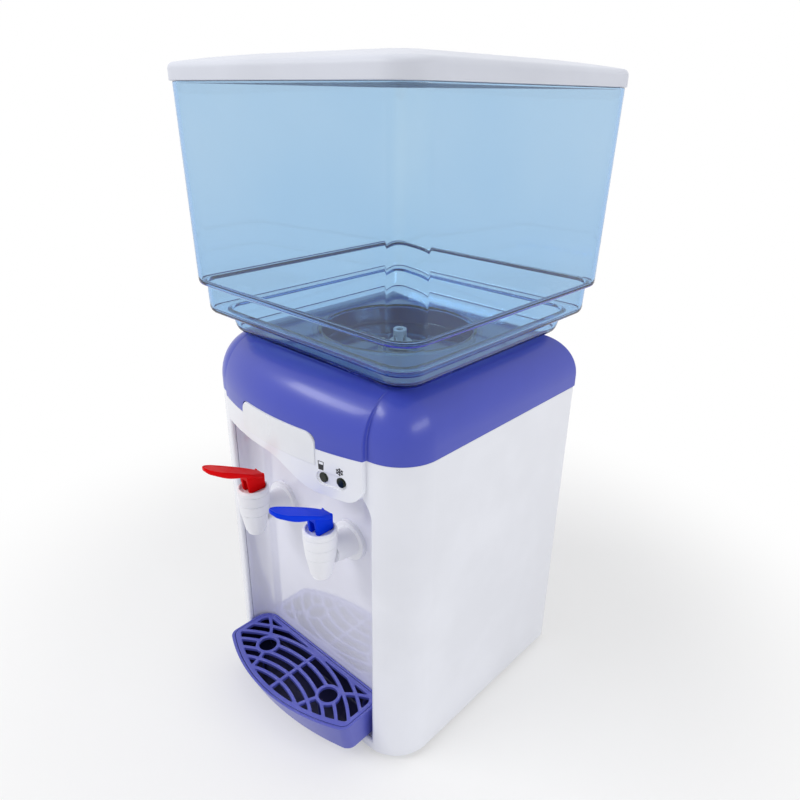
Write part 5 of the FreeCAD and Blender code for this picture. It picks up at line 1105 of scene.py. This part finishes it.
# Fan and plain parts
@dataclass
class Fan:
    """The fan's hub and its twisted blades."""

    hub: float = 15.0
    blades: int = 7
    garden: Garden = field(default_factory=around_tree)

    def build(self) -> None:
        """Makes the rotor."""
        low, high = (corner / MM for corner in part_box("fan_rotor"))
        middle = (low + high) / 2
        deep = high.y - low.y
        hub, reach = self.hub, (high.x - low.x) / 2
        sections = []
        for share in (step / 6 for step in range(7)):
            radius = hub - 1 + (reach - hub + 1) * share
            pitch = rect(1, radians(58 - 20 * share))
            chord = 9.0 + 3.5 * share
            ring = []
            for turn in (2 * pi * spot / 16 for spot in range(16)):
                place = complex(cos(turn) * chord / 2, sin(turn) * 0.6) * pitch
                swing = place.real / radius + 0.1 * share
                height = max(-deep / 2 + 0.3, min(deep / 2 - 0.3, place.imag))
                ring.append(Vector((radius * cos(swing), radius * sin(swing), height)))
            sections.append(ring)
        blade = loft("fan_blades", sections)
        self.garden.grow(blade, Count=self.blades, Finish=Finish.BLACK.material())
        cup = lathe("hub", [(0, deep / 2), (hub - 1.5, deep / 2), (hub - 0.3, deep / 2 - 0.5),
                            (hub, deep / 2 - 1.5), (hub, -deep / 2), (0, -deep / 2)], looped=False)
        item = tidy(joined("fan_rotor_shape", [blade, cup]))
        item.data.transform(Matrix.Translation(middle * MM) @ Matrix.Rotation(-pi / 2, 4, "X"))
        settle(item, Finish.BLACK, "fan_rotor", drawn=False)


@dataclass
class PlainParts:
    """The pieces whose CAD shape needs only a finish and rounded edges, and the screws."""

    screws: Fasteners = field(default_factory=Fasteners)
    rounded: tuple[tuple[Finish, float, str], ...] = (
        (Finish.WHITE, 0.7, "fascia_panel"),
        # the alcove's white gloss carries a painted violet reflection in its tint
        (Finish.GLOSS, 0.5, "alcove_panel"),
        (Finish.PLATE, 0.3, "raised_plate"),
        (Finish.LENS, 0.5, "power_lens cooling_lens"),
        (Finish.INNER, 0.5, "base_plate board_spacers feed_probe"),
        (Finish.INNER, 0.6, "reservoir_stand feed_tee"),
        (Finish.PALE_RUBBER, 1.0, "rubber_feet"),
        (Finish.VALVE, 0.35, "tank_valve_body tank_outlet_nut tank_valve_plunger"),
        (Finish.TAP, 0.5, "tap_bonnet_red tap_bonnet_blue"),
        (Finish.TAP, 0.4, "tap_nut_red tap_nut_blue"),
        (Finish.RED, 0.3, "tap_stem_red"),
        (Finish.BLUE, 0.3, "tap_stem_blue"),
        (Finish.BLACK_RUBBER, 0.2, "tap_washer_red tap_seal_red tap_washer_blue tap_seal_blue"),
        (Finish.STEEL, 0.6, "cold_reservoir"),
        (Finish.FOAM, 1.2, "insulation_front insulation_rear"),
        (Finish.ALUMINIUM, 0.3, "cold_block heat_sink"),
        (Finish.CERAMIC, 0.15, "thermoelectric_module"),
        (Finish.BOARD, 0.15, "indicator_board power_board"),
        (Finish.BLACK, 0.3, "board_parts switch_body power_rocker"),
        (Finish.BLACK, 0.5, "fan_frame power_inlet"))

    def build(self) -> None:
        """Gives them their finish."""
        for finish, bevel, nodes in self.rounded:
            refine(finish, bevel, *nodes.split())
        smooth(Finish.WHITE, "housing_shell", "rear_panel")
        dress(Finish.HOSE, "ambient_hose", "cold_hose")
        dress(Finish.STEEL, "tank_valve_spring", "tap_spring_red", "tap_spring_blue")
        self.screws.place("base_screws", "Z")
        for node in ("rear_screws", "clamp_screws", "fan_screws"):
            self.screws.place(node, "Y")


# Studio
@dataclass
class Studio:
    """White studio: floor, soft boxes, pale world and the camera."""

    place: Station = (0.357035, -0.375192, 0.489748)
    azimuth: float = 42.821
    pitch: float = 24.269
    roll: float = 0.841
    lens: float = 30.554
    ambient: float = 0.46
    reach: float = 9000
    lamps: tuple[tuple[str, Colour, Colour, Pair, float], ...] = (
        ("key_box", (-0.7, -1.1, 1.3), (0, 0, 0.25), (1.1, 0.35), 11.5),
        ("side_box", (1.5, 0.1, 0.8), (0, 0, 0.25), (1.3, 0.3), 6.5),
        ("top_box", (0.1, 0.1, 1.6), (0, 0, 0.3), (0.8, 0.8), 4.0))

    def camera(self) -> None:
        """Places the camera."""
        facing = (Matrix.Rotation(radians(self.azimuth), 4, "Z")
                  @ Matrix.Rotation(radians(90 - self.pitch), 4, "X")
                  @ Matrix.Rotation(radians(self.roll), 4, "Z"))
        data = bpy.data.cameras.new("camera")
        data.lens = self.lens
        data.sensor_width = 36
        data.clip_start = 0.01
        camera = placed("camera", data)
        spot = Vector(self.place) + Vector((0, MIDDLE, 0)) * MM
        camera.matrix_world = Matrix.Translation(spot) @ facing
        bpy.context.scene.camera = camera

    def lamp(self, name: str, place: Colour, target: Colour, size: Pair, power: float) -> None:
        """Adds one soft box."""
        data = bpy.data.lights.new(name, "AREA")
        data.shape = "RECTANGLE"
        data.size, data.size_y = size
        data.energy = power
        item = placed(name, data)
        item.location = place
        item.rotation_euler = (Vector(target) - Vector(place)).to_track_quat("-Z", "Y").to_euler()

    @staticmethod
    def seen(sheet: Sheet) -> Field:
        """One for camera, glossy and transmission rays."""
        camera, glossy, through = (sheet.add("ShaderNodeLightPath", output=f"Is {kind} Ray")
                                   for kind in ("Camera", "Glossy", "Transmission"))
        return camera | glossy | through

    def world(self) -> None:
        """A white surround for what is seen and mirrored, and an even glow for the rest."""
        sheet = Sheet(bpy.data.worlds.new("studio"))
        glow, white = (sheet.add("ShaderNodeBackground", {"Color": (1.0, 1.0, 1.0), "Strength": strength})
                       for strength in (self.ambient, 1.0))
        mixed = sheet.add("ShaderNodeMixShader", {0: self.seen(sheet), 1: glow, 2: white})
        sheet.add("ShaderNodeOutputWorld", {"Surface": mixed})
        bpy.context.scene.world = sheet.owner

    def floor(self) -> None:
        """A pale floor that keeps the shadow and fades to white far away."""
        turns = [pi * step / 48 for step in range(96)]
        plane = mesh_object("floor", [(self.reach * cos(turn), self.reach * sin(turn), 0)
                                      for turn in turns], [range(96)])
        sheet = Sheet(bpy.data.materials.new("studio_floor"))
        away = sheet.add("ShaderNodeVectorMath", {0: sheet.place}, "Value", operation="LENGTH")
        grain = sheet.noise(900, 2)
        tint = sheet.mix(grain, (0.90, 0.90, 0.91), (0.93, 0.93, 0.935))
        matt = sheet.add("ShaderNodeBsdfDiffuse", {"Color": tint})
        glow = sheet.add("ShaderNodeEmission", {"Color": (1.0, 1.0, 1.0), "Strength": 1.0})
        share = (0.4 + 0.6 * away.step(0.26, 0.55)) * self.seen(sheet)
        mixed = sheet.add("ShaderNodeMixShader", {0: share, 1: matt, 2: glow})
        sheet.add("ShaderNodeOutputMaterial", {"Surface": mixed})
        plane.data.materials.append(sheet.owner)

    def build(self) -> None:
        """Sets the stage."""
        self.camera()
        for lamp in self.lamps:
            self.lamp(*lamp)
        self.world()
        self.floor()
        bpy.context.scene.view_settings.view_transform = "Standard"


def main() -> None:
    """Builds the dispenser and its studio."""
    logging.basicConfig(level=logging.INFO, format="%(name)s: %(message)s")
    marks = (Pictogram("glass_mark", glass(), 45.5 + 259.4j, 7),
             Pictogram("snow_mark", snow(), 60.5 + 258.8j, 5.9))
    taps = Tap(-TAP_X, "red", Finish.RED), Tap(TAP_X, "blue", Finish.BLUE)
    for part in (Studio(), PlainParts(), *marks, Cover(), Tank(), Lid(), *taps, DripTray(), Fan()):
        part.build()


if __name__ == "__main__":
    main()
